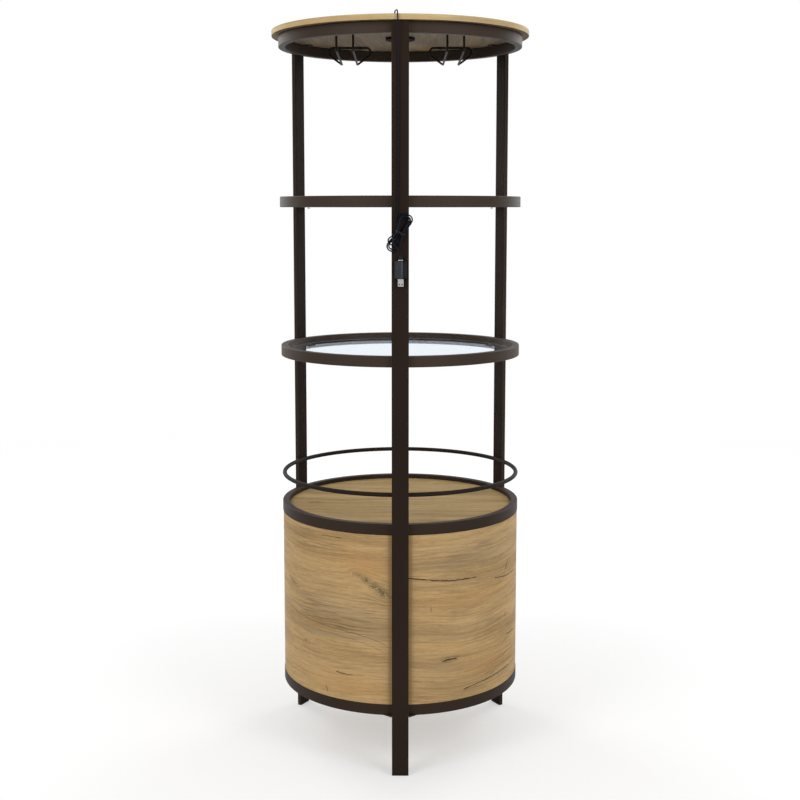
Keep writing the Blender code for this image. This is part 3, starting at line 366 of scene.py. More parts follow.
class Graph:
    """The nodes of a material or a world."""

    def __init__(self, owner, shader="Principled BSDF"):
        owner.use_nodes = True
        self.finish = owner
        self.tree = owner.node_tree
        self.shader = self.tree.nodes[shader]

    def feed(self, socket, value):
        if isinstance(value, Value):
            self.tree.links.new(value.socket, socket)
        else:
            socket.default_value = value

    def node(self, kind, inputs, output=0, **settings):
        made = self.tree.nodes.new("ShaderNode" + kind)
        for key, value in settings.items():
            setattr(made, key, value)
        for key, value in dict(inputs).items():
            self.feed(made.inputs[key], value)
        return Value(self, made.outputs[output])

    def math(self, operation, *values):
        return self.node("Math", enumerate(values), operation=operation)

    def place(self):
        """The piece's own x, y and z."""
        split = self.node("SeparateXYZ", {0: self.node("TexCoord", {}, "Object")})
        return [Value(self, output) for output in split.socket.node.outputs]

    def noise(self, u, v, w, detail=2.0, roughness=0.5, distortion=0.0):
        """Noise from 0 to 1, mostly near its middle; u, v and w are in turns of the noise."""
        spot = self.node("CombineXYZ", {0: u, 1: v, 2: w})
        inputs = {"Vector": spot, "Scale": 1.0, "Detail": detail, "Roughness": roughness,
                  "Distortion": distortion}
        return self.node("TexNoise", inputs)

    def speckle(self, scale, detail=2.0):
        """Noise of one scale all ways."""
        return self.noise(*[side * scale for side in self.place()], detail)

    def spread(self, value, low_in, high_in, low_out=0.0, high_out=1.0, kind="SMOOTHSTEP"):
        inputs = {0: value, 1: low_in, 2: high_in, 3: low_out, 4: high_out}
        return self.node("MapRange", inputs, interpolation_type=kind)

    def blend(self, share, first, second):
        tints = [color if isinstance(color, Value) else (*color, 1.0) for color in (first, second)]
        return self.node("Mix", {0: share, 6: tints[0], 7: tints[1]}, 2, data_type="RGBA")

    def soft_tone(self, value, color, amount):
        """One colour with a little more and less of it, as a noise says."""
        dark = [channel * (1.0 - amount) for channel in color]
        light = [channel * (1.0 + amount) for channel in color]
        return self.blend(self.spread(value, 0.3, 0.7), dark, light)

    def rays(self, *kinds):
        """1 for rays of any of these kinds, and 0 for others."""
        path = self.node("LightPath", {}).socket.node.outputs
        share = Value(self, path[kinds[0]])
        for kind in kinds[1:]:
            share = self.math("MAXIMUM", share, Value(self, path[kind]))
        return share

    def bump(self, height, depth, strength):
        normal = self.node("Bump", {"Height": height, "Distance": depth, "Strength": strength})
        self.feed(self.shader.inputs["Normal"], normal)

    def set(self, **values):
        for name, value in values.items():
            self.feed(self.shader.inputs[name.replace("_", " ")], value)

    def mix_surface(self, share, first, second):
        mixed = self.node("MixShader", {0: share, 1: first, 2: second})
        self.feed(self.tree.nodes["Material Output"].inputs["Surface"], mixed)

    def surface(self):
        return Value(self, self.shader.outputs[0])


def new_material(name):
    return Graph(bpy.data.materials.new(name))


def make_bronze(name, color, roughness, gloss):
    """Powder coat: fine orange peel, and slow changes of tone along the tube."""
    g = new_material(name)
    x, y, z = g.place()
    slow = g.noise(x * 5.0, y * 5.0, z * 3.0)
    speck = g.speckle(1700.0, 1.0)
    peel = g.speckle(620.0)
    g.set(Base_Color=g.soft_tone(slow * 0.6 + speck * 0.4, color, 0.22),
          Roughness=g.spread(peel, 0.25, 0.75, roughness - 0.05, roughness + 0.07),
          Specular_IOR_Level=gloss)
    g.bump(peel, 0.00012, 0.5)
    return g.finish


def make_steel(name, color, roughness):
    """Brushed bright metal."""
    g = new_material(name)
    x, y, z = g.place()
    brush = g.noise(x * 300.0, y * 300.0, z * 4000.0)
    g.set(Base_Color=g.soft_tone(brush, color, 0.08), Metallic=1.0,
          Roughness=g.spread(brush, 0.2, 0.8, roughness - 0.06, roughness + 0.08))
    g.bump(brush, 0.00002, 0.4)
    return g.finish


def make_moulded(name, color, roughness, grain=1500.0, gloss=0.4):
    """Moulded plastic or rubber with a fine texture."""
    g = new_material(name)
    fine = g.speckle(grain)
    slow = g.speckle(60.0, 1.0)
    g.set(Base_Color=g.soft_tone(fine * 0.5 + slow * 0.5, color, 0.14), Specular_IOR_Level=gloss,
          Roughness=g.spread(fine, 0.25, 0.75, roughness - 0.06, roughness + 0.08))
    g.bump(fine, 0.00004, 0.5)
    return g.finish


def make_glass(name, color):
    """Clear glass that lets lamps through, with a faint haze of dust."""
    g = new_material(name)
    haze = g.speckle(40.0, 3.0)
    g.set(Base_Color=g.soft_tone(haze, color, 0.01), Transmission_Weight=1.0, IOR=1.5,
          Roughness=g.spread(haze, 0.3, 0.8, 0.0, 0.008))
    clear = g.node("BsdfTransparent", {"Color": (0.9, 0.94, 0.95, 1.0)})
    g.mix_surface(g.rays("Is Shadow Ray"), g.surface(), clear)
    return g.finish


def wood_grain(g, along, across, seed):
    """Layers of oak grain: broad bands, lines, crisp lines, fibres and pores, each from 0 to 1."""
    wander = g.noise(along * 2.6, across * 3.0, seed, 1.5)
    ripple = g.noise(along * 8.0, across * 26.0, seed + 3.0, 1.0)
    bent = across + wander * 0.05 + ripple * 0.003
    bands = g.noise(along * 2.4, bent * 26.0, seed + 5.0)
    lines = g.noise(along * 9.0, bent * 190.0, seed + 7.0, 2.0, 0.6)
    crisp = g.noise(along * 11.0, bent * 260.0, seed + 13.0, 1.0)
    fibres = g.noise(along * 45.0, bent * 620.0, seed + 9.0, 3.0, 0.7)
    pores = g.noise(along * 60.0, bent * 1500.0, seed + 11.0)
    return bent, bands, lines, crisp, fibres, pores


def crack(g, along, across, route, width, shake, body):
    """Share, 0 to 1, of a fine dark crack through (along, across) points."""
    start, end = route[0][0], route[-1][0]
    levels = [point[1] for point in route]
    base = min(levels) - 0.01
    span = max(levels) - min(levels) + 0.02
    t = g.spread(along, start, end, kind="LINEAR")
    line = g.node("FloatCurve", {"Value": t})
    mapping = line.socket.node.mapping
    curve = mapping.curves[0]
    knots = [((a - start) / (end - start), (c - base) / span) for a, c in route]
    curve.points[0].location = knots[0]
    curve.points[1].location = knots[-1]
    for knot in knots[1:-1]:
        curve.points.new(*knot)
    mapping.update()
    off = g.math("ABSOLUTE", across - (line * span + shake + base))
    ends = g.spread(t, 0.0, 0.05) * g.spread(t, 1.0, 0.94)
    wide = ends * body * width
    return g.spread(off / (wide + 0.00005), 0.6, 1.4, 1.0, 0.0) * ends


def patch(g, along, across, centre, size, slant):
    """Share, 0 to 1, of a soft oval patch."""
    da = along - centre[0]
    dc = across - centre[1]
    cos, sin = polar(1.0, slant)
    p = da * (cos / size[0]) + dc * (sin / size[0])
    q = da * (-sin / size[1]) + dc * (cos / size[1])
    return g.math("EXPONENT", (p * p + q * q) * -1.0)


def knot_shares(g, along, across, seed, knots):
    """Shares of the haze and of the dark veins of all knots."""
    wild = g.noise(along * 170.0, across * 230.0, seed + 40.0, 2.0, 0.6, 0.9)
    vein = g.spread(g.math("ABSOLUTE", wild - 0.5), 0.01, 0.075, 1.0, 0.1)
    near = 0.0
    for *shape, strength in knots:
        near = g.math("MAXIMUM", near, patch(g, along, across, *shape) * strength)
    return near * 0.5, near * vein


def ink_share(g, along, across, seed, cracks, specks):
    """Share of the ink of all cracks and specks."""
    shake = g.noise(along * 95.0, across * 30.0, seed + 43.0, 3.0, 0.7) * 0.0044 + -0.0022
    body = g.spread(g.noise(along * 42.0, across * 20.0, seed + 46.0), 0.3, 0.62, 0.5, 1.0)
    shares = [crack(g, along, across, route, width, shake, body) * strength
              for route, width, strength in cracks]
    shares += [patch(g, along, across, *shape) * strength for *shape, strength in specks]
    ink = 0.0
    for share in shares:
        ink = g.math("MAXIMUM", ink, share)
    return ink


def make_oak(name, layout, seed, light=(0.605, 0.402, 0.186), dark=(0.345, 0.218, 0.094), gloss=0.10,
             cracks=(), knots=(), specks=(), tints_and_shade=(), lined=()):
    """Rustic oak decor. layout gives the values along and across the grain, in metres."""
    g = new_material(name)
    along, across = layout(g)
    squeezed = across
    for centre, (half_along, half_across), slant, strength in knots:
        near = patch(g, along, across, centre, (half_along * 1.7, half_across * 1.9), slant)
        squeezed = squeezed + (across - centre[1]) * near * -0.85
    bent, bands, lines, crisp, fibres, pores = wood_grain(g, along, squeezed, seed)
    tone = bands * 0.36 + lines * 0.32 + fibres * 0.32
    color = g.blend(g.spread(tone, 0.36, 0.63), dark, light)
    warm = g.noise(along * 4.0, across * 9.0, seed + 20.0)
    color = g.blend(g.spread(warm, 0.52, 0.78, 0.0, 0.4), color, OAK_WARM)
    grey = g.noise(along * 3.0, bent * 30.0, seed + 23.0, 3.0)
    color = g.blend(g.spread(grey, 0.5, 0.75, 0.0, 0.5), color, OAK_GREY)
    # Tints of the wood, and the strips of painted shade beside the rear post
    for *shape, strength, glow in tints_and_shade:
        color = g.blend(patch(g, along, across, *shape) * strength, color, glow)
    crowd = g.spread(g.noise(along * 6.0, bent * 16.0, seed + 26.0), 0.45, 0.7, 0.08, 0.32)
    for *shape, strength in lined:
        crowd = crowd + patch(g, along, across, *shape) * strength
    inked = g.spread(crisp, 0.47, 0.40) * crowd
    color = g.blend(inked, color, OAK_LINE)
    pitted = g.spread(pores, 0.60, 0.70, 0.0, 0.45)
    color = g.blend(pitted, color, OAK_PORE)
    if knots:
        haze, veins = knot_shares(g, along, across, seed, knots)
        color = g.blend(haze, color, OAK_HAZE)
        color = g.blend(veins, color, OAK_VEIN)
    marks = pitted * 0.3 + inked * 0.2
    if cracks or specks:
        ink = ink_share(g, along, across, seed, cracks, specks)
        color = g.blend(ink, color, OAK_CRACK)
        marks = marks + ink
    g.set(Base_Color=color, Roughness=g.spread(tone, 0.3, 0.7, 0.60, 0.52), Specular_IOR_Level=gloss)
    g.bump(fibres * 0.5 - marks, 0.00015, 0.6)
    return g.finish


def wrapped(g):
    """Grain that runs round the cabinet, measured from the rear post towards +X."""
    x, y, z = g.place()
    return g.math("ARCTAN2", x, y) * WALL_OUTER, z


def lengthwise(g):
    return g.place()[:2]


def crosswise(g):
    return g.place()[1::-1]


# Grain of the two walls, placed one by one from the photograph: (metres from the rear post, height)
WALL_CRACKS = [
    ([(0.110, 0.227), (0.133, 0.227), (0.157, 0.229)], 0.0011, 0.85),
    ([(0.138, 0.545), (0.167, 0.546), (0.197, 0.545)], 0.0008, 0.8),
    ([(0.232, 0.552), (0.274, 0.548)], 0.0006, 0.6),
    ([(0.020, 0.295), (0.090, 0.323), (0.170, 0.332), (0.270, 0.340), (0.360, 0.354)], 0.0012, 0.42),
    ([(0.030, 0.283), (0.110, 0.311), (0.220, 0.319)], 0.0006, 0.4),
    ([(0.100, 0.342), (0.190, 0.348), (0.350, 0.370)], 0.0006, 0.4),
    ([(-0.193, 0.447), (-0.131, 0.448), (-0.098, 0.450), (-0.070, 0.454), (-0.006, 0.462)], 0.0014, 1.0),
    ([(-0.379, 0.425), (-0.335, 0.425), (-0.295, 0.427), (-0.248, 0.433)], 0.0012, 0.85),
    ([(-0.335, 0.200), (-0.288, 0.199), (-0.237, 0.196), (-0.193, 0.192), (-0.148, 0.184)], 0.0013, 0.9),
    ([(-0.253, 0.206), (-0.236, 0.202)], 0.0008, 0.7),
    ([(-0.350, 0.218), (-0.280, 0.214), (-0.215, 0.207)], 0.0006, 0.5),
    ([(-0.370, 0.239), (-0.290, 0.235), (-0.220, 0.226)], 0.0005, 0.4),
    ([(-0.367, 0.278), (-0.309, 0.280)], 0.0012, 0.8),
    ([(-0.136, 0.264), (-0.116, 0.263), (-0.096, 0.260)], 0.0016, 1.0),
    ([(-0.145, 0.265), (-0.116, 0.269), (-0.090, 0.262)], 0.0006, 0.6),
    ([(-0.140, 0.261), (-0.115, 0.257), (-0.088, 0.258)], 0.0006, 0.6),
]
# Each knot or speck: centre, half sizes along and across, slant in degrees, strength
WALL_KNOTS = [
    ((0.042, 0.429), (0.021, 0.0105), 33.0, 1.0),
    ((0.059, 0.441), (0.024, 0.009), 33.0, 0.9),
    ((0.079, 0.455), (0.020, 0.008), 30.0, 0.9),
    ((0.098, 0.464), (0.013, 0.0055), 20.0, 0.7),
    ((0.023, 0.419), (0.012, 0.005), 15.0, 0.7),
    ((-0.116, 0.263), (0.026, 0.006), -8.0, 0.6),
    ((0.314, 0.411), (0.022, 0.0045), 15.0, 0.6),
]
WALL_SPECKS = [
    ((-0.306, 0.449), (0.012, 0.0017), -59.0, 0.9),
    ((-0.310, 0.372), (0.0016, 0.0075), -10.0, 0.45),
    ((-0.303, 0.331), (0.0019, 0.0065), 0.0, 0.65),
    ((-0.071, 0.386), (0.0011, 0.0055), 0.0, 0.6),
    ((0.254, 0.282), (0.0024, 0.0016), 0.0, 0.85),
    ((0.182, 0.182), (0.008, 0.0016), 75.0, 0.65),
    ((-0.050, 0.181), (0.009, 0.0016), 0.0, 0.4),
]
WARM_TINT = (0.56, 0.31, 0.115)
GREY_TINT = (0.37, 0.275, 0.165)
# Darker, yellower colour for the strips beside the rear post: painted shade
POST_SEAM_SHADE = (0.29, 0.180, 0.055)
# Each tint: centre, half sizes, slant, strength, colour; the two strips beside the rear post are painted
# shade
WALL_TINTS_AND_SHADE = [
    ((0.075, 0.485), (0.075, 0.030), 8.0, 0.65, WARM_TINT),
    ((0.130, 0.370), (0.130, 0.026), 8.0, 0.45, GREY_TINT),
    ((0.120, 0.200), (0.120, 0.020), 2.0, 0.4, WARM_TINT),
    ((-0.200, 0.500), (0.120, 0.030), 0.0, 0.5, GREY_TINT),
    ((-0.160, 0.400), (0.140, 0.022), 0.0, 0.35, WARM_TINT),
    ((-0.230, 0.240), (0.110, 0.024), 0.0, 0.4, WARM_TINT),
    # Strips on both sides of the rear post: painted shade where the wall meets the post
    ((0.0225, 0.370), (0.0045, 2.0), 0.0, 0.6, POST_SEAM_SHADE),
    ((-0.0225, 0.370), (0.0045, 2.0), 0.0, 0.6, POST_SEAM_SHADE),
]
# Where the grain's dark lines crowd: centre, half sizes, slant, strength
WALL_LINES = [
    ((0.170, 0.352), (0.110, 0.026), 10.0, 0.75),
    ((0.055, 0.370), (0.040, 0.035), 0.0, 0.5),
    ((-0.120, 0.500), (0.090, 0.022), -6.0, 0.30),
    ((-0.240, 0.530), (0.060, 0.018), -6.0, 0.25),
    ((-0.330, 0.270), (0.060, 0.060), 0.0, 0.35),
    ((0.240, 0.530), (0.090, 0.016), 6.0, 0.35),
]
TOP_CRACKS = [
    ([(-0.120, 0.203), (0.020, 0.206), (0.140, 0.204)], 0.0007, 0.5),
]
TOP_KNOTS = [
    ((0.208, 0.020), (0.014, 0.009), 20.0, 0.85),
    ((-0.049, 0.143), (0.035, 0.012), 0.0, 0.45),
    ((0.094, -0.245), (0.024, 0.010), 0.0, 0.4),
]

post_coat = make_bronze("post_coat", (0.0245, 0.0160, 0.0122), 0.55, 0.03)
# A lighter copy of the post coat for the posts' narrow sides: painted light from the sides
post_side_painted_light = make_bronze("post_side_painted_light", (0.0420, 0.0300, 0.0215), 0.55, 0.04)
# The bands' coat is the post coat made lighter and glossier: a painted sheen where lamps catch curved faces;
# hinge plates and pulls share it
ring_coat_painted_sheen = make_bronze("ring_coat_painted_sheen", (0.0410, 0.0265, 0.0175), 0.52, 0.15)
cabinet_coat = make_bronze("cabinet_coat", (0.0270, 0.0160, 0.0105), 0.52, 0.12)
wire_coat = make_bronze("wire_coat", (0.0180, 0.0125, 0.0095), 0.55, 0.06)
screw_coat = make_bronze("screw_coat", (0.0160, 0.0120, 0.0100), 0.34, 0.25)
oak_wall = make_oak("oak_wall", wrapped, 2.0, cracks=WALL_CRACKS, knots=WALL_KNOTS, specks=WALL_SPECKS,
                    tints_and_shade=WALL_TINTS_AND_SHADE, lined=WALL_LINES)
oak_board = make_oak("oak_board", lengthwise, 40.0, (0.50, 0.335, 0.145), (0.26, 0.165, 0.062), 0.04,
                     TOP_CRACKS, TOP_KNOTS)
oak_floor = make_oak("oak_floor", lengthwise, 55.0)
oak_top = make_oak("oak_top", crosswise, 70.0)
# A darker copy of the top's oak for its underside: painted shade
oak_under_painted_shade = make_oak("oak_under_painted_shade", crosswise, 75.0, (0.215, 0.145, 0.078), (0.125, 0.082, 0.042), 0.06)
oak_edge = make_oak("oak_edge", wrapped, 90.0, (0.72, 0.54, 0.275), (0.56, 0.405, 0.195))
glass = make_glass("shelf_glass", (0.72, 0.835, 0.97))
glass_edge = make_moulded("ground_glass_edge", (0.36, 0.42, 0.47), 0.45, 500.0, 0.35)
steel = make_steel("bright_steel", (0.62, 0.61, 0.58), 0.30)
shell_steel = make_steel("shell_steel", (0.40, 0.39, 0.385), 0.36)
pad_rubber = make_moulded("pad_rubber", (0.42, 0.43, 0.42), 0.55)
black_plastic = make_moulded("black_plastic", (0.010, 0.010, 0.011), 0.45, gloss=0.15)
puck_plastic = make_moulded("puck_plastic", (0.013, 0.011, 0.010), 0.65, gloss=0.02)
plug_plastic = make_moulded("plug_plastic", (0.0080, 0.0082, 0.0140), 0.42, gloss=0.12)
# A lighter plastic for one facet of the plug: painted light; a pale grey for a bead on its ridge: a painted
# highlight
plug_panel_painted_light = make_moulded("plug_panel_painted_light", (0.038, 0.040, 0.049), 0.45, gloss=0.10)
plug_ridge_painted_highlight = make_moulded("plug_ridge_painted_highlight", (0.200, 0.200, 0.212), 0.40, gloss=0.25)
# The lens is coloured near black, darker than frosted plastic: painted shade under the top
lens_plastic_painted_shade = make_moulded("lens_plastic_painted_shade", (0.022, 0.020, 0.017), 0.70, 400.0, 0.01)
cord_sheath = make_moulded("cord_sheath", (0.0055, 0.0060, 0.0135), 0.32, 900.0, 0.09)


# Frame of rings, posts and gallery rail

TAB_ROOT = 0.006
RAIL_RADIUS = 0.005
TAB_RISES = {"top_ring": RING_HEIGHT - TAB_THICKNESS, "upper_shelf_ring": 0.0008,
             "lower_shelf_ring": 0.0008, "cabinet_top_ring": 0.0022, "cabinet_base_ring": 0.0095}


def add_tab(bm, angle, bottom):
    """Tab inside a ring, with the weld along its root."""
    reach = TAB_REACH + TAB_ROOT
    outline = rounded(reach, TAB_WIDTH, 0.0035, 5, (RING_INNER + TAB_ROOT - reach / 2, 0.0))
    plate(bm, outline, bottom, bottom + TAB_THICKNESS, 0.0004, turn(angle))
    half = TAB_WIDTH / 2
    for level in (bottom, bottom + TAB_THICKNESS):
        weld(bm, (RING_INNER, -half, level), (RING_INNER, half, level), 0.0011, turn(angle))


def add_post_welds(bm, angle, bottom):
    """Beads down both sides of a post, where a ring meets it."""
    out = RING_OUTER - 0.0002
    for side in SIDES:
        y = side * POST_WIDTH / 2
        weld(bm, (out, y, bottom + 0.0025), (out, y, bottom + RING_HEIGHT - 0.0025), 0.0014, turn(angle))


def add_gussets(bm, angle, bottom):
    """Small plates under the base ring, on both sides of a post."""
    beside = POST_WIDTH / 2 + FIT
    wide = beside + GUSSET_SPREAD
    root = RING_OUTER - 0.004
    top = bottom + GUSSET_THICKNESS
    outline = [(root, beside), (POST_OUTER, beside), (POST_OUTER, beside + 0.0015),
               (math.sqrt(RING_OUTER ** 2 - wide ** 2) - 0.002, wide), (root - 0.004, wide)]
    for mirror in (Matrix(), Matrix.Scale(-1.0, 4, (0.0, 1.0, 0.0))):
        place = turn(angle) @ mirror
        plate(bm, outline, bottom, top, 0.0004, place)
        weld(bm, (POST_INNER, beside, top), (POST_OUTER - 0.001, beside, top), 0.0012, place)


def make_ring(node, tab_rise):
    bottom = low(node).z
    bm = bmesh.new()
    centre = (RING_OUTER - RING_DEPTH / 2, bottom + RING_HEIGHT / 2)
    turned(bm, rounded(RING_DEPTH, RING_HEIGHT, BAND_CORNER, 4, centre), closed=True)
    for angle in POSTS.values():
        add_tab(bm, angle, bottom + tab_rise)
        add_post_welds(bm, angle, bottom)
        if node == "cabinet_base_ring":
            add_gussets(bm, angle, bottom)
    # Bands other than the cabinet's take the lighter coat with its painted sheen
    coat = cabinet_coat if node.startswith("cabinet") else ring_coat_painted_sheen
    finish_piece(node.replace("ring", "band"), bm, [coat], [node])


def make_post(name, angle):
    """Post whose narrow sides get a lighter copy of its coat as painted light, and the cap in its foot."""
    node = name + "_post"
    section = rounded(POST_THICKNESS, POST_WIDTH, POST_CORNER, 5)
    place = turn(angle) @ shift((POST_INNER + POST_OUTER) / 2, 0.0, 0.0)
    bm = bmesh.new()
    plate(bm, section, *heights(node), 0.0005, place)
    bm.normal_update()
    across = turn(angle) @ Vector((0.0, 1.0, 0.0))
    # The narrow sides take the lighter copy of the coat: painted light
    for face in bm.faces:
        if abs(face.normal.dot(across)) > 0.8:
            face.material_index = 1
    finish_piece(name + "_upright", bm, [post_coat, post_side_painted_light], [node])
    glide = name + "_foot_glide"
    bm = bmesh.new()
    plate(bm, section, 0.0, low(node).z - FIT, 0.0009, place)
    bore = rounded(POST_THICKNESS - 0.0036, POST_WIDTH - 0.0036, 0.001)
    plate(bm, bore, 0.0015, high(glide).z, 0.0005, place)
    finish_piece(glide + "_cap", bm, [black_plastic], [glide])


def make_gallery():
    level = middle("gallery_rail").z
    inside = POST_INNER - 0.0008
    bm = bmesh.new()
    pipe(bm, circle(RING_OUTER - RAIL_RADIUS, level), RAIL_RADIUS, 20, True)
    for angle in POSTS.values():
        for side in SIDES:
            bead = level + side * 0.0022
            weld(bm, (inside, -0.009, bead), (inside, 0.009, bead), 0.0015, turn(angle))
    finish_piece("gallery_hoop", bm, [wire_coat], ["gallery_rail"])


for ring_name, ring_tab_rise in TAB_RISES.items():
    make_ring(ring_name, ring_tab_rise)
for post_name, post_angle in POSTS.items():
    make_post(post_name, post_angle)
make_gallery()


# Boards, glass, and what holds them

def at_tab_hole(angle):
    return turn(angle) @ shift(TAB_HOLE_REACH, 0.0, 0.0)


def make_top():
    bm = bmesh.new()
    disc(bm, TOP_RADIUS, TOP_UNDERSIDE, TOP_SURFACE, 0.0011, side=1, ends=0)
    # Faces that look down take the darker oak: painted shade under the top
    bm.normal_update()
    for face in bm.faces:
        if face.normal.z < -0.9:
            face.material_index = 2
    board = finish_piece("top_board", bm, [oak_top, oak_edge, oak_under_painted_shade], ["top_panel"])
    place = shift(OUTLET.x, OUTLET.y, 0.0)
    bm = bmesh.new()
    disc(bm, 0.0037, TOP_UNDERSIDE - 0.01, TOP_SURFACE + 0.01, 0.0003, place, 32)
    cut(board, bm)
    floor, rim = heights("cable_grommet")
    seat = TOP_SURFACE + FIT
    profile = [(0.0022, floor), (0.0034, floor), (0.0034, seat), (0.0055, seat), (0.0055, rim - 0.0005),
               (0.0051, rim - 0.0001), (0.0046, rim), (0.0029, rim), (0.0024, rim - 0.0002),
               (0.0022, rim - 0.0006)]
    bm = bmesh.new()
    turned(bm, profile, 40, True, place)
    finish_piece("cable_grommet_bush", bm, [black_plastic], ["cable_grommet"])


def make_top_screw(name, angle):
    node = name + "_top_screw"
    head = 0.0024
    seat = low(node).z + head
    place = at_tab_hole(angle)
    bm = bmesh.new()
    disc(bm, 0.0018, seat - 0.001, high(node).z, 0.0006, place, 16)
    disc(bm, 0.0055, seat, seat + FIT, 0.0001, place, 32)
    screw(bm, 0.004, head, place @ shift(0.0, 0.0, seat) @ FACE_DOWN)
    finish_piece(name + "_top_panel_screw", bm, [screw_coat], [node])


def make_shelf(name):
    """Glass disc with ground edges, on its three pads and their nuts."""
    node = name + "_glass_shelf"
    bm = bmesh.new()
    disc(bm, GLASS_RADIUS, *heights(node), 0.0007, side=1, ends=0)
    finish_piece(name + "_shelf_pane", bm, [glass, glass_edge], [node])
    for post, angle in POSTS.items():
        pad = post + "_" + name + "_pad"
        bottom, top = heights(pad)
        place = at_tab_hole(angle)
        cushion = [(0.0022, bottom + 0.003), (0.0022, top - 0.0018), (0.0055, top - 0.0018),
                   (0.0058, top - 0.0015), (0.0058, top - 0.0004), (0.0054, top)]
        nut = [(0.0026, bottom + 0.0003), (0.0033, bottom + 0.0003), (0.0038, bottom + 0.0008),
               (0.0038, bottom + 0.0034), (0.0034, bottom + 0.0038)]
        stud = [(0.0013, bottom), (0.0019, bottom + 0.0004), (0.0019, bottom + 0.001)]
        bm = bmesh.new()
        turned(bm, cushion, 36, matrix=place)
        disc(bm, 0.0046, bottom + 0.0038, bottom + 0.0042, 0.0001, place, 32, 1)
        turned(bm, nut, 6, matrix=place, side=1)
        turned(bm, stud, 20, matrix=place, side=1)
        finish_piece(pad + "_disc", bm, [pad_rubber, steel], [pad])


def make_board(node, finish):
    bm = bmesh.new()
    disc(bm, BOARD_RADIUS, *heights(node), 0.0006, side=1, ends=0)
    finish_piece(node.replace("panel", "board"), bm, [finish, oak_edge], [node])


def make_wall(name, node, start, end, body="frame"):
    """Curved wall between two (angle, offset) ends that are cut square, with eased edges."""
    edge = 0.0007
    centre = (WALL_OUTER + WALL_INNER) / 2
    count = 72
    bottom, top = heights(node)

    def limits(radius):
        first = math.radians(start[0]) + math.asin(start[1] / radius)
        last = math.radians(end[0]) - math.asin(end[1] / radius)
        return first, last

    whole = limits(centre)[1] - limits(centre)[0]
    shares = [(distance / centre / whole, amount) for distance, amount in easing(edge)[:2]]
    ends = edge / centre / whole
    shares += [(ends + (1.0 - 2.0 * ends) * i / count, 0.0) for i in range(count + 1)]
    shares += [(1.0 - share, amount) for share, amount in shares[1::-1]]
    loops = []
    for share, amount in shares:
        section = rounded(WALL_OUTER - WALL_INNER - 2 * amount, top - bottom - 2 * amount,
                          edge, 3, (centre, (bottom + top) / 2))
        loop = []
        for radius, height in section:
            first, last = limits(radius)
            loop.append((*polar(radius, math.degrees(first + (last - first) * share)), height))
        loops.append(loop)
    bm = bmesh.new()
    loft(bm, loops, ends=1)
    finish_piece(name, bm, [oak_wall, oak_edge], [node], body)


make_top()
for post_name, post_angle in POSTS.items():
    make_top_screw(post_name, post_angle)
make_shelf("lower")
make_shelf("upper")
make_board("cabinet_top_panel", oak_board)
make_board("cabinet_floor_panel", oak_floor)
seam = (90.0, WALL_SEAM / 2)
gap = (270.0, DOOR_GAP / 2)
wall_end = DOOR_GAP - DOOR_EDGE
make_wall("right_back_wall", "right_back_panel", (-30.0, wall_end), seam)
make_wall("left_back_wall", "left_back_panel", seam, (210.0, wall_end))
make_wall("left_door_leaf", "left_door", (210.0, DOOR_EDGE), gap, "left_door")
make_wall("right_door_leaf", "right_door", gap, (330.0, DOOR_EDGE), "right_door")


# Door furniture: side is 1 for the left door and -1 for the right one

HINGE_RADIUS = 0.0032
HINGE_PIN = 0.0014
HINGE_HEIGHT = 0.050
HINGE_THICKNESS = 0.0016
HINGE_DOOR_LEAF = 0.0225
HINGE_ACROSS = POST_WIDTH / 2 + FIT + HINGE_RADIUS
HINGE_OUT = WALL_OUTER + FIT + HINGE_RADIUS
PULL_RADIUS = 0.0035
PULL_REACH = 0.012
PULL_HALF_LENGTH = 0.0565
PULL_ANGLE = 3.0
DOORS = {"left": (1.0, 210.0), "right": (-1.0, 330.0)}


def hinge_leaf(bm, spans, inner, outer, reach, screws, facing):
    """Leaf plate between two values of local Y, with its knuckles round the local Z axis."""
    clear = HINGE_RADIUS + FIT
    near, far = sorted((inner, outer))
    outline = rounded(reach - clear, HINGE_HEIGHT, 0.0012, 4, ((reach + clear) / 2, 0.0))
    plate(bm, outline, -far, -near, 0.0003, UPRIGHT)
    for bottom, top in spans:
        tongue = rounded(2 * clear, top - bottom, 0.0004, 2, (clear, (bottom + top) / 2))
        plate(bm, tongue, -far, -near, 0.0002, UPRIGHT)
        disc(bm, HINGE_RADIUS, bottom, top, 0.0004, steps=36)
    for x, z, radius in screws:
        screw(bm, radius, 0.0005, shift(x, outer, z) @ turn(-90.0 * facing, "X"), 1)


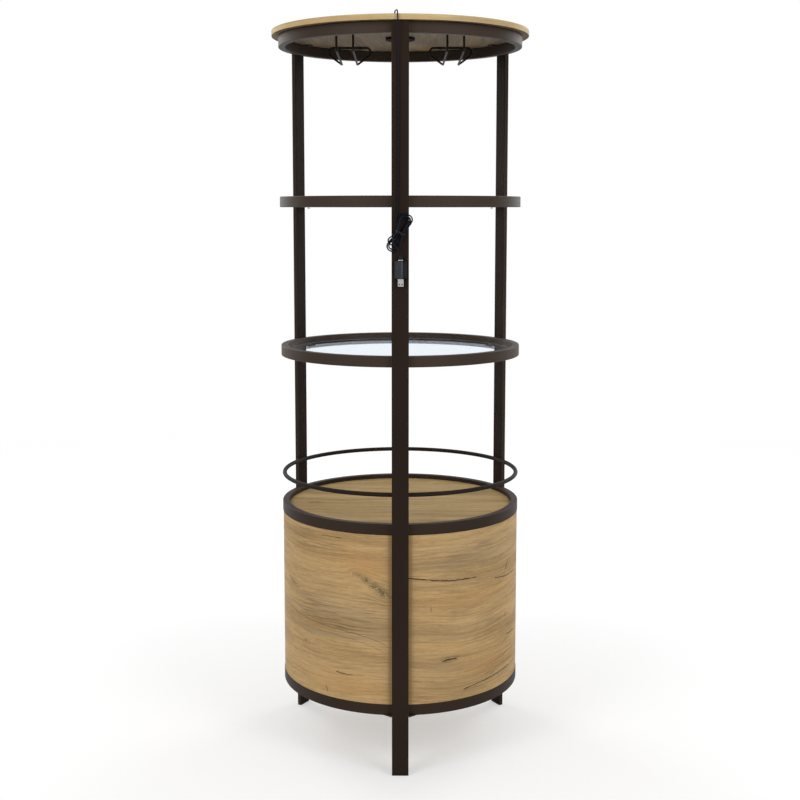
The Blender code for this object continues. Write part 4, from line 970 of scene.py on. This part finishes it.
def make_hinge(name, body, side, post):
    length = (HINGE_HEIGHT - 0.001) / 3
    starts = [i * (length + 0.0005) - HINGE_HEIGHT / 2 for i in range(3)]
    lower, centre, upper = [(start, start + length) for start in starts]
    axis = Vector(polar(HINGE_OUT, post)) + Vector(polar(HINGE_ACROSS, post + 90.0 * side))
    place = shift(*axis, middle(name + "_post_leaf").z)

    bm = bmesh.new()
    against = -side * HINGE_RADIUS
    hinge_leaf(bm, (lower, upper), against, against + side * HINGE_THICKNESS, POST_OUTER - HINGE_OUT,
               [(0.0062, z, 0.0015) for z in (-0.015, 0.0, 0.015)], side)
    bm.transform(place @ turn(post))
    finish_piece(name + "_post_plate", bm, [ring_coat_painted_sheen, screw_coat], [name + "_post_leaf"])

    bm = bmesh.new()
    swing_in = math.degrees(math.asin((HINGE_ACROSS + HINGE_DOOR_LEAF / 2) / WALL_OUTER))
    inner = axis.dot(Vector(polar(1.0, post + side * swing_in))) - (WALL_OUTER + FIT)
    hinge_leaf(bm, (centre,), side * inner, side * (inner - HINGE_THICKNESS), HINGE_DOOR_LEAF,
               [(0.0135, z, 0.0024) for z in (-0.017, 0.0, 0.017)], -side)
    bm.transform(place @ turn(post + side * (90.0 + swing_in)))
    finish_piece(name + "_door_plate", bm, [ring_coat_painted_sheen, screw_coat], [name + "_door_leaf"], body)

    bm = bmesh.new()
    half = HINGE_HEIGHT / 2
    turned(bm, [(HINGE_PIN, -half), (HINGE_PIN, half + FIT), (HINGE_RADIUS - 0.0004, half + FIT),
                (HINGE_RADIUS, half + FIT + 0.0003), (HINGE_RADIUS * 0.9, half + 0.0011),
                (HINGE_RADIUS * 0.5, half + 0.0015)], 32, matrix=place)
    finish_piece(name + "_pin_rod", bm, [steel], [name + "_pin"])


def make_pull(name, side):
    """Round-bar pull on small collars."""
    angle = 270.0 - PULL_ANGLE * side
    centre = middle(name + "_door").z
    near, far = polar(WALL_OUTER, angle), polar(WALL_OUTER + PULL_REACH, angle)
    bottom, top = centre - PULL_HALF_LENGTH, centre + PULL_HALF_LENGTH
    corners = [(*near, top), (*far, top), (*far, bottom), (*near, bottom)]
    bm = bmesh.new()
    pipe(bm, bent_path(corners, 0.008, 12), PULL_RADIUS, 20)
    for level in (bottom, top):
        lying = shift(*near, level) @ turn(angle) @ turn(90.0, "Y")
        disc(bm, 0.0055, -0.0002, 0.0014, 0.0005, lying, 36)
    finish_piece(name + "_door_handle", bm, [ring_coat_painted_sheen], [name + "_door_pull"], name + "_door")


def make_strike(name, side):
    node = name + "_door_strike"
    face = WALL_INNER * math.cos(math.radians(PULL_ANGLE)) - FIT
    place = turn(270.0 - PULL_ANGLE * side) @ shift(face, 0.0, middle(node).z) @ turn(-90.0, "Y")
    bm = bmesh.new()
    plate(bm, rounded(0.011, 0.016, 0.002), 0.0, 0.0012, 0.0002, place)
    screw(bm, 0.0022, 0.0004, place @ shift(0.0, 0.0, 0.0012))
    finish_piece(name + "_strike_plate", bm, [steel], [node], name + "_door")


def make_catch():
    """Magnet block with its two pole plates towards the doors, and a screw at each end."""
    bottom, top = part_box("magnetic_catch")
    centre = (bottom + top) / 2
    size = top - bottom
    bm = bmesh.new()
    plate(bm, rounded(size.x, size.y, 0.0022), bottom.z, top.z, 0.0008, shift(centre.x, centre.y, 0.0))
    for side in SIDES:
        for rise in (0.0045, 0.0085):
            pole = rounded(0.014, 0.0016, 0.0004, 2, (side * 0.0105, bottom.z + rise))
            plate(bm, pole, -bottom.y - 0.004, -bottom.y + 0.0002, 0.0002, UPRIGHT, 1)
        screw(bm, 0.0024, 0.0006, shift(side * 0.0185, centre.y, bottom.z) @ FACE_DOWN, 1)
    finish_piece("magnetic_catch_block", bm, [black_plastic, steel], ["magnetic_catch"])


for door_name, (door_side, door_post) in DOORS.items():
    make_pull(door_name, door_side)
    make_strike(door_name, door_side)
    for place_name in ("lower", "upper"):
        make_hinge(door_name + "_" + place_name + "_hinge", door_name + "_door", door_side, door_post)
make_catch()


# Stemware racks

RACK_WIRE = 0.0025
RACK_GAUGE = 0.038
RACK_DROP = 0.045
RACK_REAR = 0.134
RACK_BAR_WIDTH = 0.102
RACK_KICK = 0.018
RACK_BEND = 0.008
RACK_CENTRE = middle("right_glass_rack").x
RACK_BAR = math.sqrt((RING_INNER - 0.023) ** 2 - (RACK_CENTRE + RACK_BAR_WIDTH / 2) ** 2)
RACK_TIP = RACK_BAR - 0.013
RACK_PLATE = 0.0015
RACK_SADDLE = 0.0039


def make_rack(name, centre):
    """Rack of one bent wire, with round feet at the rear and two saddles over its front bar."""
    under = TOP_UNDERSIDE - FIT
    rail = TOP_UNDERSIDE - RACK_DROP
    bar = under - RACK_WIRE
    foot = under - RACK_PLATE
    half, wide = RACK_GAUGE / 2, RACK_BAR_WIDTH / 2
    right = [(half, RACK_REAR, under - 0.0008), (half, RACK_REAR, rail), (half, -RACK_TIP, rail),
             (wide, -RACK_BAR, bar - RACK_KICK), (wide, -RACK_BAR, bar)]
    left = [(-x, y, z) for x, y, z in right]
    bm = bmesh.new()
    pipe(bm, bent_path([(centre + x, y, z) for x, y, z in right + left[::-1]], RACK_BEND, 10), RACK_WIRE, 16)
    for x in (centre - half, centre + half):
        place = shift(x, RACK_REAR, 0.0)
        disc(bm, 0.008, foot, under, 0.0004, place, 48)
        turned(bm, [(0.0041, under - 0.0013), (0.0036, under - 0.0022), (0.0027, under - 0.0032),
                    (0.0024, under - 0.0036)], 32, matrix=place)
        for side in SIDES:
            screw(bm, 0.0016, 0.0005, shift(x, RACK_REAR + side * 0.0057, foot) @ FACE_DOWN, 1)
    outline = [(-RACK_SADDLE, RACK_WIRE)] + half_round(RACK_SADDLE) + [(RACK_SADDLE, RACK_WIRE)]
    for x in (centre - 0.025, centre + 0.025):
        plate(bm, rounded(0.014, 0.014, 0.002), foot, under, 0.0003, shift(x, -RACK_BAR, 0.0))
        plate(bm, outline, -0.0045, 0.0045, 0.0003, shift(x, -RACK_BAR, bar) @ turn(90.0) @ UPRIGHT)
        for side in SIDES:
            screw(bm, 0.0014, 0.0005, shift(x, side * 0.0055 - RACK_BAR, foot) @ FACE_DOWN, 1)
    finish_piece(name + "_wire", bm, [wire_coat, screw_coat], [name])


make_rack("left_glass_rack", -RACK_CENTRE)
make_rack("right_glass_rack", RACK_CENTRE)


# Light

CLIP_X, CLIP_Y = 0.0084, 0.150
CLIP_BAND = 0.0011


def make_puck():
    bottom, top = heights("led_puck")
    lens_top = high("led_lens").z
    edge = 0.0014
    inside = LENS_RADIUS + FIT
    profile = [(inside, lens_top + FIT), (inside, bottom + 0.0004), (LENS_RADIUS + 0.0007, bottom)]
    for i in range(7):
        x, z = polar(edge, 15.0 * i - 90.0)
        profile.append((PUCK_RADIUS - edge + x, bottom + edge + z))
    neck = PUCK_RADIUS - 0.0008
    profile += [(PUCK_RADIUS, top - 0.0012), (neck, top - 0.0008), (neck, top)]
    bm = bmesh.new()
    turned(bm, profile, 120)
    finish_piece("led_puck_housing", bm, [puck_plastic], ["led_puck"])
    dome = [(LENS_RADIUS * share, bottom + 0.0006 - 0.0006 * math.cos(share * 1.57)) for share in
            (0.05, 0.2, 0.4, 0.6, 0.8, 0.93, 0.985)]
    bm = bmesh.new()
    turned(bm, dome + [(LENS_RADIUS, bottom + 0.001), (LENS_RADIUS, lens_top)], 120)
    finish_piece("led_lens_disc", bm, [lens_plastic_painted_shade], ["led_lens"])


def make_clip():
    """Saddle over the lead, with a screw in each foot."""
    under = TOP_UNDERSIDE - FIT
    inner = CORD_RADIUS + FIT
    outer = inner + CLIP_BAND
    wing = outer + 0.006
    outline = [(-wing, 0.0), (-wing, -CLIP_BAND)] + half_round(outer, -CORD_RADIUS)
    outline += [(wing, -CLIP_BAND), (wing, 0.0), (inner, 0.0)] + half_round(inner, -CORD_RADIUS)[::-1]
    outline += [(-inner, 0.0)]
    bm = bmesh.new()
    loft(bm, [[(*point, level) for point in outline] for level in (-0.004, 0.004)],
         matrix=shift(CLIP_X, CLIP_Y, under) @ UPRIGHT)
    for side in SIDES:
        seat = shift(CLIP_X + side * (outer + 0.0032), CLIP_Y, under - CLIP_BAND) @ FACE_DOWN
        screw(bm, 0.0018, 0.0006, seat, 1)
    finish_piece("lead_saddle", bm, [black_plastic, steel], ["lead_clip"])


make_puck()
make_clip()


# Cords: the same routes as in the part's source

# Smooth stretches: distance between points, steps tried from knot to knot, and straight end
CORD_STEP = 0.003
FINE_STEPS = 40
CORD_END = 2 * CORD_RADIUS


def smooth_route(route):
    """Points about a step apart on one smooth curve; its first and last legs stay straight."""
    route = [Vector(point) for point in route]
    knots = route[1:-1]
    legs = [after - before for before, after in zip(knots, knots[1:])]
    spans = [math.sqrt(leg.length) for leg in legs]
    rises = [leg / span for leg, span in zip(legs, spans)]
    slopes = [(route[1] - route[0]).normalized() * rises[0].length]
    for i in range(1, len(legs)):
        slopes.append((rises[i - 1] * spans[i] + rises[i] * spans[i - 1]) / (spans[i - 1] + spans[i]))
    slopes.append((route[-1] - route[-2]).normalized() * rises[-1].length)
    fine = []
    for i, span in enumerate(spans):
        for t in [k / FINE_STEPS for k in range(FINE_STEPS)]:
            fine.append((2 * t ** 3 - 3 * t ** 2 + 1) * knots[i]
                        + (t ** 3 - 2 * t ** 2 + t) * span * slopes[i]
                        + (3 * t ** 2 - 2 * t ** 3) * knots[i + 1]
                        + (t ** 3 - t ** 2) * span * slopes[i + 1])
    curve, walked = [fine[0]], 0.0
    for before, after in zip(fine, fine[1:]):
        walked += (after - before).length
        if walked >= CORD_STEP:
            curve.append(after)
            walked = 0.0
    if walked < CORD_STEP * 0.5:
        curve.pop()
    return route[:1] + curve + route[-2:]


# Each point is (x, y beyond the top panel's edge, z above the top panel's surface).
ROUTE_OVER_EDGE = [
    (0.0120, -0.0413, 0.0018),
    (0.0120, -0.0413, 0.0034),
    (0.0118, -0.0392, 0.0074),
    (0.0111, -0.0340, 0.0094),
    (0.0098, -0.0250, 0.0098),
    (0.0081, -0.0150, 0.0093),
    (0.0069, -0.0065, 0.0077),
    (0.0061, 0.0004, 0.0043),
    (0.0056, 0.0036, -0.0020),
    (0.0053, 0.0043, -0.0100),
    (0.0050, 0.0040, -0.0200),
]
# Each point is (x, y beyond the post's outer face, z).
ROUTE_DOWN_POST = [
    (0.0047, 0.0068, 1.6650),
    (0.0043, 0.0046, 1.6300),
    (0.0038, 0.0036, 1.5800),
    (0.0036, 0.0032, 1.5100),
    (0.0040, 0.0031, 1.4300),
    (0.0046, 0.0031, 1.3600),
    (0.0052, 0.0031, 1.3100),
    (0.0062, 0.0032, 1.2860),
    (0.0075, 0.0032, 1.2675),
]
ROUTE_TAIL = [
    (0.0163, 0.0183, 1.2222),
    (0.0146, 0.0186, 1.2150),
    (0.0100, 0.0186, 1.2075),
    (0.0048, 0.0174, 1.2005),
    (0.0006, 0.0128, 1.1935),
]
# Plug: its collar stands on the body's top, and the shell hangs below
COLLAR_HEIGHT = 0.0045
PLUG_X = -0.001
PLUG_Y = middle("usb_plug_body").y
PLUG_TOP = high("usb_plug_body").z - COLLAR_HEIGHT
PLUG_ENTRY = Vector((PLUG_X, PLUG_Y, high("usb_plug_body").z + FIT))

# Hank: oval loops, wound in layers and drawn in at the waist
HANK_WAIST_POINT = Vector((0.0, POST_OUTER + 0.0032, 1.2373))
HANK_TILT = 27.0
HANK_HALF_LENGTH = 0.0405
HANK_WAIST = 0.0021
HANK_LOBE = 0.0235
HANK_PITCH = 0.0043
HANK_LAYER_PITCH = 0.0037
HANK_LAYERS = 4
HANK_TURNS_IN_LAYER = 1.25
HANK_TURNS = HANK_LAYERS * HANK_TURNS_IN_LAYER
HANK_CLIMB_TURNS = 0.5
HANK_STEPS = 96
HANK_LEAD = 0.0085
HANK_AWAY = Vector((0.0, 1.0, 0.0))
# How each layer strays: its upper and lower lobes' tilt, reach and width, and a shift of the upper one
HANK_UPPER_TILT = (12.0, 32.0, 24.0, 20.0, HANK_TILT)
HANK_LOWER_TILT = (31.0, 31.0, 42.0, 18.0, HANK_TILT)
HANK_UPPER_REACH = (1.0, 0.86, 0.95, 0.9, 0.8)
HANK_LOWER_REACH = (1.0, 1.0, 0.77, 0.84, 1.0)
HANK_UPPER_WIDTH = (0.85, 0.8, 0.85, 0.8, 0.9)
HANK_LOWER_WIDTH = (0.75, 0.75, 0.82, 0.72, 0.8)
HANK_UPPER_SHIFT = (0.0, 0.002, -0.001, 0.0, 0.0)


def ease(value):
    t = min(max(value, 0.0), 1.0)
    return t * t * (3.0 - 2.0 * t)


def hank_point(phase):
    """World point of the hank's loops, after so many turns."""
    position = phase / HANK_TURNS_IN_LAYER
    layer = min(max(int(position), 0), HANK_LAYERS - 1)
    within = position - layer
    step_out = (within if layer % 2 else 1.0 - within) * HANK_TURNS_IN_LAYER * HANK_PITCH
    starts = [HANK_TURNS_IN_LAYER * k - HANK_CLIMB_TURNS / 2 for k in range(1, HANK_LAYERS)]
    starts.append(HANK_TURNS - HANK_CLIMB_TURNS)
    level = sum(ease((phase - start) / HANK_CLIMB_TURNS) for start in starts)
    below = min(int(level), HANK_LAYERS - 1)

    def strayed(values):
        return values[below] + (values[below + 1] - values[below]) * (level - below)

    angle = 2.0 * math.pi * phase
    swing = -math.sin(angle)
    upper = ease(swing + 0.5)
    width = strayed(HANK_UPPER_WIDTH) * upper + strayed(HANK_LOWER_WIDTH) * (1.0 - upper)
    tilt = strayed(HANK_UPPER_TILT) * upper + strayed(HANK_LOWER_TILT) * (1.0 - upper)
    reach = strayed(HANK_UPPER_REACH if swing > 0.0 else HANK_LOWER_REACH)
    waist = HANK_WAIST + step_out
    lobe = (HANK_LOBE + 2.0 * step_out) * width
    across = math.cos(angle) * (waist + (lobe - waist) * swing ** 2)
    across += strayed(HANK_UPPER_SHIFT) * upper * swing ** 2
    along = (HANK_HALF_LENGTH + step_out) * swing * reach
    out = HANK_AWAY * level * HANK_LAYER_PITCH
    return HANK_WAIST_POINT + out + turn(-tilt, "Y") @ Vector((across, 0.0, along))


def onwards(before, last):
    """Short straight step onwards from the last of two points."""
    return (last - before).normalized() * CORD_END


def hank_path():
    lead = HANK_LEAD / (2.0 * math.pi * HANK_HALF_LENGTH)
    whole = HANK_TURNS + 2.0 * lead
    count = round(whole * HANK_STEPS)
    points = [hank_point(whole * i / count - lead) for i in range(count + 1)]
    return [points[0] + onwards(*points[1::-1])] + points + [points[-1] + onwards(*points[-2:])]


def cord_path():
    """The whole free cord: over the edge, down the post, the hank, and the tail."""
    hank = hank_path()
    over = [(x, TOP_RADIUS + y, TOP_SURFACE + z) for x, y, z in ROUTE_OVER_EDGE]
    down = [(x, POST_OUTER + y, z) for x, y, z in ROUTE_DOWN_POST]
    run = smooth_route(over + down + [hank[0] + onwards(*hank[1::-1]), hank[0]])
    tail = [hank[-1], hank[-1] + onwards(*hank[-2:])]
    tail += [(x, POST_OUTER + y, z) for x, y, z in ROUTE_TAIL]
    tail += [PLUG_ENTRY + Vector((0.0, 0.0, CORD_END)), PLUG_ENTRY]
    sunk = PLUG_ENTRY - Vector((0.0, 0.0, COLLAR_HEIGHT))
    return run[:-1] + hank + smooth_route(tail)[1:] + [sunk]


def lead_path():
    """Lead from the puck along the underside of the top panel, and up into the outlet."""
    flat = TOP_UNDERSIDE - FIT - CORD_RADIUS
    stretch = CLIP_Y - PUCK_RADIUS
    x, y = OUTLET.x, OUTLET.y
    return smooth_route([
        (0.0, PUCK_RADIUS + FIT, flat - 0.0010),
        (0.0005, PUCK_RADIUS + 0.010, flat - 0.0006),
        (CLIP_X * 0.25, PUCK_RADIUS + stretch * 0.35, flat),
        (CLIP_X * 0.60, PUCK_RADIUS + stretch * 0.65, flat),
        (CLIP_X - 0.0004, CLIP_Y - 0.008, flat),
        (CLIP_X, CLIP_Y, flat),
        (CLIP_X + 0.0004, CLIP_Y + 0.008, flat),
        (x - 0.0010, y - 0.056, flat),
        (x, y - 0.0320, flat - 0.0012),
        (x + 0.0001, y - 0.0180, flat - 0.0060),
        (x + 0.0001, y - 0.0080, flat - 0.0074),
        (x, y - 0.0018, flat - 0.0040),
        (x, y, flat + 0.0030),
        (x, y, TOP_SURFACE),
        (x, y, TOP_SURFACE + FIT + 0.0012),
    ])


def tube_curve(name, points, nodes):
    """Round cord along points, as a curve of one open spline."""
    curve = bpy.data.curves.new(name, "CURVE")
    curve.dimensions = "3D"
    curve.bevel_depth = CORD_RADIUS
    curve.bevel_resolution = 4
    curve.use_fill_caps = True
    spline = curve.splines.new("POLY")
    spline.points.add(len(points) - 1)
    for point, place in zip(spline.points, points):
        point.co = (*place, 1.0)
    spline.use_smooth = True
    curve.materials.append(cord_sheath)
    return register(add_object(name, curve), nodes)


def make_tie():
    """Flat tie round the hank's waist."""
    clear = 0.0014
    half_width = HANK_WAIST + HANK_TURNS_IN_LAYER * HANK_PITCH + CORD_RADIUS + clear + FIT
    back = -CORD_RADIUS - clear
    front = HANK_LAYERS * HANK_LAYER_PITCH + CORD_RADIUS + clear
    path = rounded(2 * half_width, front - back, 0.003, 6)
    loops = []
    for amount, level in rounded(0.001, 0.004, 0.0003, 3, (0.0005, 0.0)):
        loops.append([(x, y, level) for x, y in inset(path, amount)])
    centre = HANK_WAIST_POINT + HANK_AWAY * (front + back) / 2
    bm = bmesh.new()
    loft(bm, loops, True, shift(*centre) @ turn(-HANK_TILT, "Y"))
    finish_piece("cable_tie_band", bm, [black_plastic], ["cable_tie"])


PLUG_SIZE = (0.027, 0.009, 0.040)
PLUG_CORNER = 0.0012
PLUG_RIDGE = -0.0028
PLUG_FERRULE = 0.0014
SHELL_SIZE = (0.0125, 0.0045, 0.0165)
SHELL_WALL = 0.0005
SLEEVE_LENGTH = 0.017
SLEEVE_START = (0.0046, 0.0023)
SLEEVE_END = 0.0019


def soft_corners(corners, reach):
    """Outline with each corner drawn as a curve that starts a reach before it."""
    outline = []
    for i, point in enumerate(corners):
        here = Vector(point)
        before = (Vector(corners[i - 1]) - here).normalized() * reach
        after = (Vector(corners[(i + 1) % len(corners)]) - here).normalized() * reach
        outline += [tuple(here + before * (1 - k / 5) ** 2 + after * (k / 5) ** 2) for k in range(6)]
    return outline


def make_plug_body(place):
    """Plug body with a ridge down its face, a lighter panel on one facet as painted light, a pale bead on
    the ridge as a painted highlight, and its collar.
    """
    width, depth, height = PLUG_SIZE
    half, back, front = width / 2, -depth / 2, depth / 2
    bottom = PLUG_TOP - height
    corners = [(half, 0.0028), (PLUG_RIDGE, front), (-half, -0.0022), (-half, back), (half, back)]
    bm = bmesh.new()
    plate(bm, soft_corners(corners, PLUG_CORNER), bottom, PLUG_TOP, 0.0010, place)
    start, end = Vector(corners[0]), Vector(corners[1])
    way = (end - start).normalized()
    out = Vector((way.y, -way.x))
    # Lighter panel on the facet from the +x side to the ridge: painted light
    near, far = start + way * 0.0014, end - way * 0.0010
    panel = [near - out * 0.0004, near + out * 0.0002, far + out * 0.0002, far - out * 0.0004]
    plate(bm, [tuple(point) for point in panel], bottom + 0.0012, PLUG_TOP - 0.0012, 0.0001, place, 1)
    # Pale bead down the ridge: a painted highlight
    bead = rounded(0.0011, 0.0012, 0.0004, 3, (PLUG_RIDGE, front - 0.0005))
    plate(bm, bead, bottom + 0.0010, PLUG_TOP - 0.0010, 0.0002, place, 2)
    ferrule = rounded(0.0108, 0.0050, 0.0018)
    plate(bm, ferrule, PLUG_TOP - 0.001, PLUG_TOP + PLUG_FERRULE, 0.0003, place, 3)
    hood = rounded(0.0100, 0.0048, 0.0018)
    plate(bm, hood, PLUG_TOP, PLUG_TOP + COLLAR_HEIGHT - 0.0002, 0.0010, place)
    finish_piece("usb_plug_housing", bm, [plug_plastic, plug_panel_painted_light, plug_ridge_painted_highlight, steel], ["usb_plug_body"])


def make_plug_shell(place):
    """Steel shell with its two windows, and the tongue inside."""
    width, depth, height = SHELL_SIZE
    bottom = low("usb_plug_shell").z
    outer = rounded(width, depth, 0.0009)
    inner = inset(outer, SHELL_WALL)
    levels = [(outer, bottom + height), (outer, bottom + 0.0002), (inset(outer, 0.0002), bottom),
              (inner, bottom), (inner, bottom + 0.013)]
    bm = bmesh.new()
    loft(bm, [[(*point, level) for point in line] for line, level in levels], matrix=place)
    shell = finish_piece("usb_plug_sleeve", bm, [shell_steel], ["usb_plug_shell"])
    for side in SIDES:
        bm = bmesh.new()
        window = rounded(0.0028, 0.0026, 0.0005, 3, (side * 0.0030, bottom + 0.0048))
        plate(bm, window, -0.0040, -0.0014, 0.0001, place @ UPRIGHT)
        cut(shell, bm)
    bm = bmesh.new()
    tongue = rounded(0.0112, 0.0016, 0.0003, 2, (0.0, -0.0009))
    plate(bm, tongue, bottom + 0.0008, bottom + 0.0134, 0.0002, place)
    finish_piece("usb_plug_tongue", bm, [black_plastic], [])


def make_sleeve(path):
    """Tapered strain relief: flat where it leaves the plug, and round where it ends on the cord."""
    reach, tail = 0.0, [path[-1]]
    for point in path[-2::-1]:
        reach += (tail[-1] - point).length
        if reach > SLEEVE_LENGTH:
            break
        tail.append(point)
    loops = []
    for i, point in enumerate(tail):
        share = ease(i / (len(tail) - 1))
        wide, deep = [size + (SLEEVE_END - size) * share for size in SLEEVE_START]
        loops.append([(point.x + wide * x, point.y + deep * y, point.z) for x, y, z in circle(1.0, 0.0, 24)])
    bm = bmesh.new()
    loft(bm, loops)
    finish_piece("usb_strain_relief", bm, [black_plastic], [])


free_cord = cord_path()
cord = tube_curve("usb_cord", free_cord, ["usb_cable", "cable_hank", "cable_tail"])
tube_curve("led_lead_cord", lead_path(), ["led_lead"])
make_tie()
make_plug_body(shift(PLUG_X, PLUG_Y, 0.0))
make_plug_shell(shift(PLUG_X, PLUG_Y, 0.0))
make_sleeve(free_cord)


# Stage and light

WORLD_LIGHT = 0.55
LAMP_AIM = Vector((0.0, 0.0, 0.95))
LAMP_SIZE = (1.6, 2.4)
LAMP_OUT = 2.3
LAMP_BACK = 2.6
FLOOR_SIZE = 40.0
FLOOR_TONE = (0.62, 0.62, 0.62)
LAMPS = {"key": (LAMP_BACK, 42.0), "fill": (-LAMP_BACK, 36.0)}


def make_floor():
    """Pale floor that reads white where no shadow falls on it."""
    bpy.ops.mesh.primitive_plane_add(size=FLOOR_SIZE)
    floor = bpy.context.object
    floor.name = "floor"
    g = new_material("studio_floor")
    x, y, z = g.place()
    fleck = g.noise(x * 90.0, y * 90.0, 1.0)
    away = g.math("SQRT", x * x + y * y)
    g.set(Base_Color=g.soft_tone(fleck, FLOOR_TONE, 0.01), Roughness=0.9, Specular_IOR_Level=0.0)
    seen = g.rays(*SEEN_RAYS)
    glow = g.node("Emission", {"Color": WHITE, "Strength": seen * g.spread(away, 0.4, 3.0, 0.40, 0.55)})
    lit = g.node("AddShader", {0: g.surface(), 1: glow})
    white = g.node("Emission", {"Color": WHITE, "Strength": seen})
    g.mix_surface(g.spread(away, 2.0, 5.0), lit, white)
    floor.data.materials.append(g.finish)


def make_world():
    """White where it is seen, and a plain even light otherwise."""
    world = bpy.data.worlds.new("studio")
    bpy.context.scene.world = world
    g = Graph(world, "Background")
    g.set(Color=WHITE, Strength=g.spread(g.rays(*SEEN_RAYS), 0.0, 1.0, WORLD_LIGHT, 1.0, "LINEAR"))


def make_lamp(name, place, power):
    data = bpy.data.lights.new(name, "AREA")
    data.shape = "RECTANGLE"
    data.size, data.size_y = LAMP_SIZE
    data.energy = power
    lamp = add_object(name, data)
    lamp.location = place
    lamp.rotation_euler = (Vector(place) - LAMP_AIM).to_track_quat("Z", "Y").to_euler()


make_floor()
make_world()
for lamp_name, (lamp_y, lamp_power) in LAMPS.items():
    for lamp_side, lamp_x in (("_left", LAMP_OUT), ("_right", -LAMP_OUT)):
        make_lamp(lamp_name + lamp_side, (lamp_x, lamp_y, LAMP_OUT), lamp_power)
bpy.context.scene.view_settings.view_transform = "Standard"
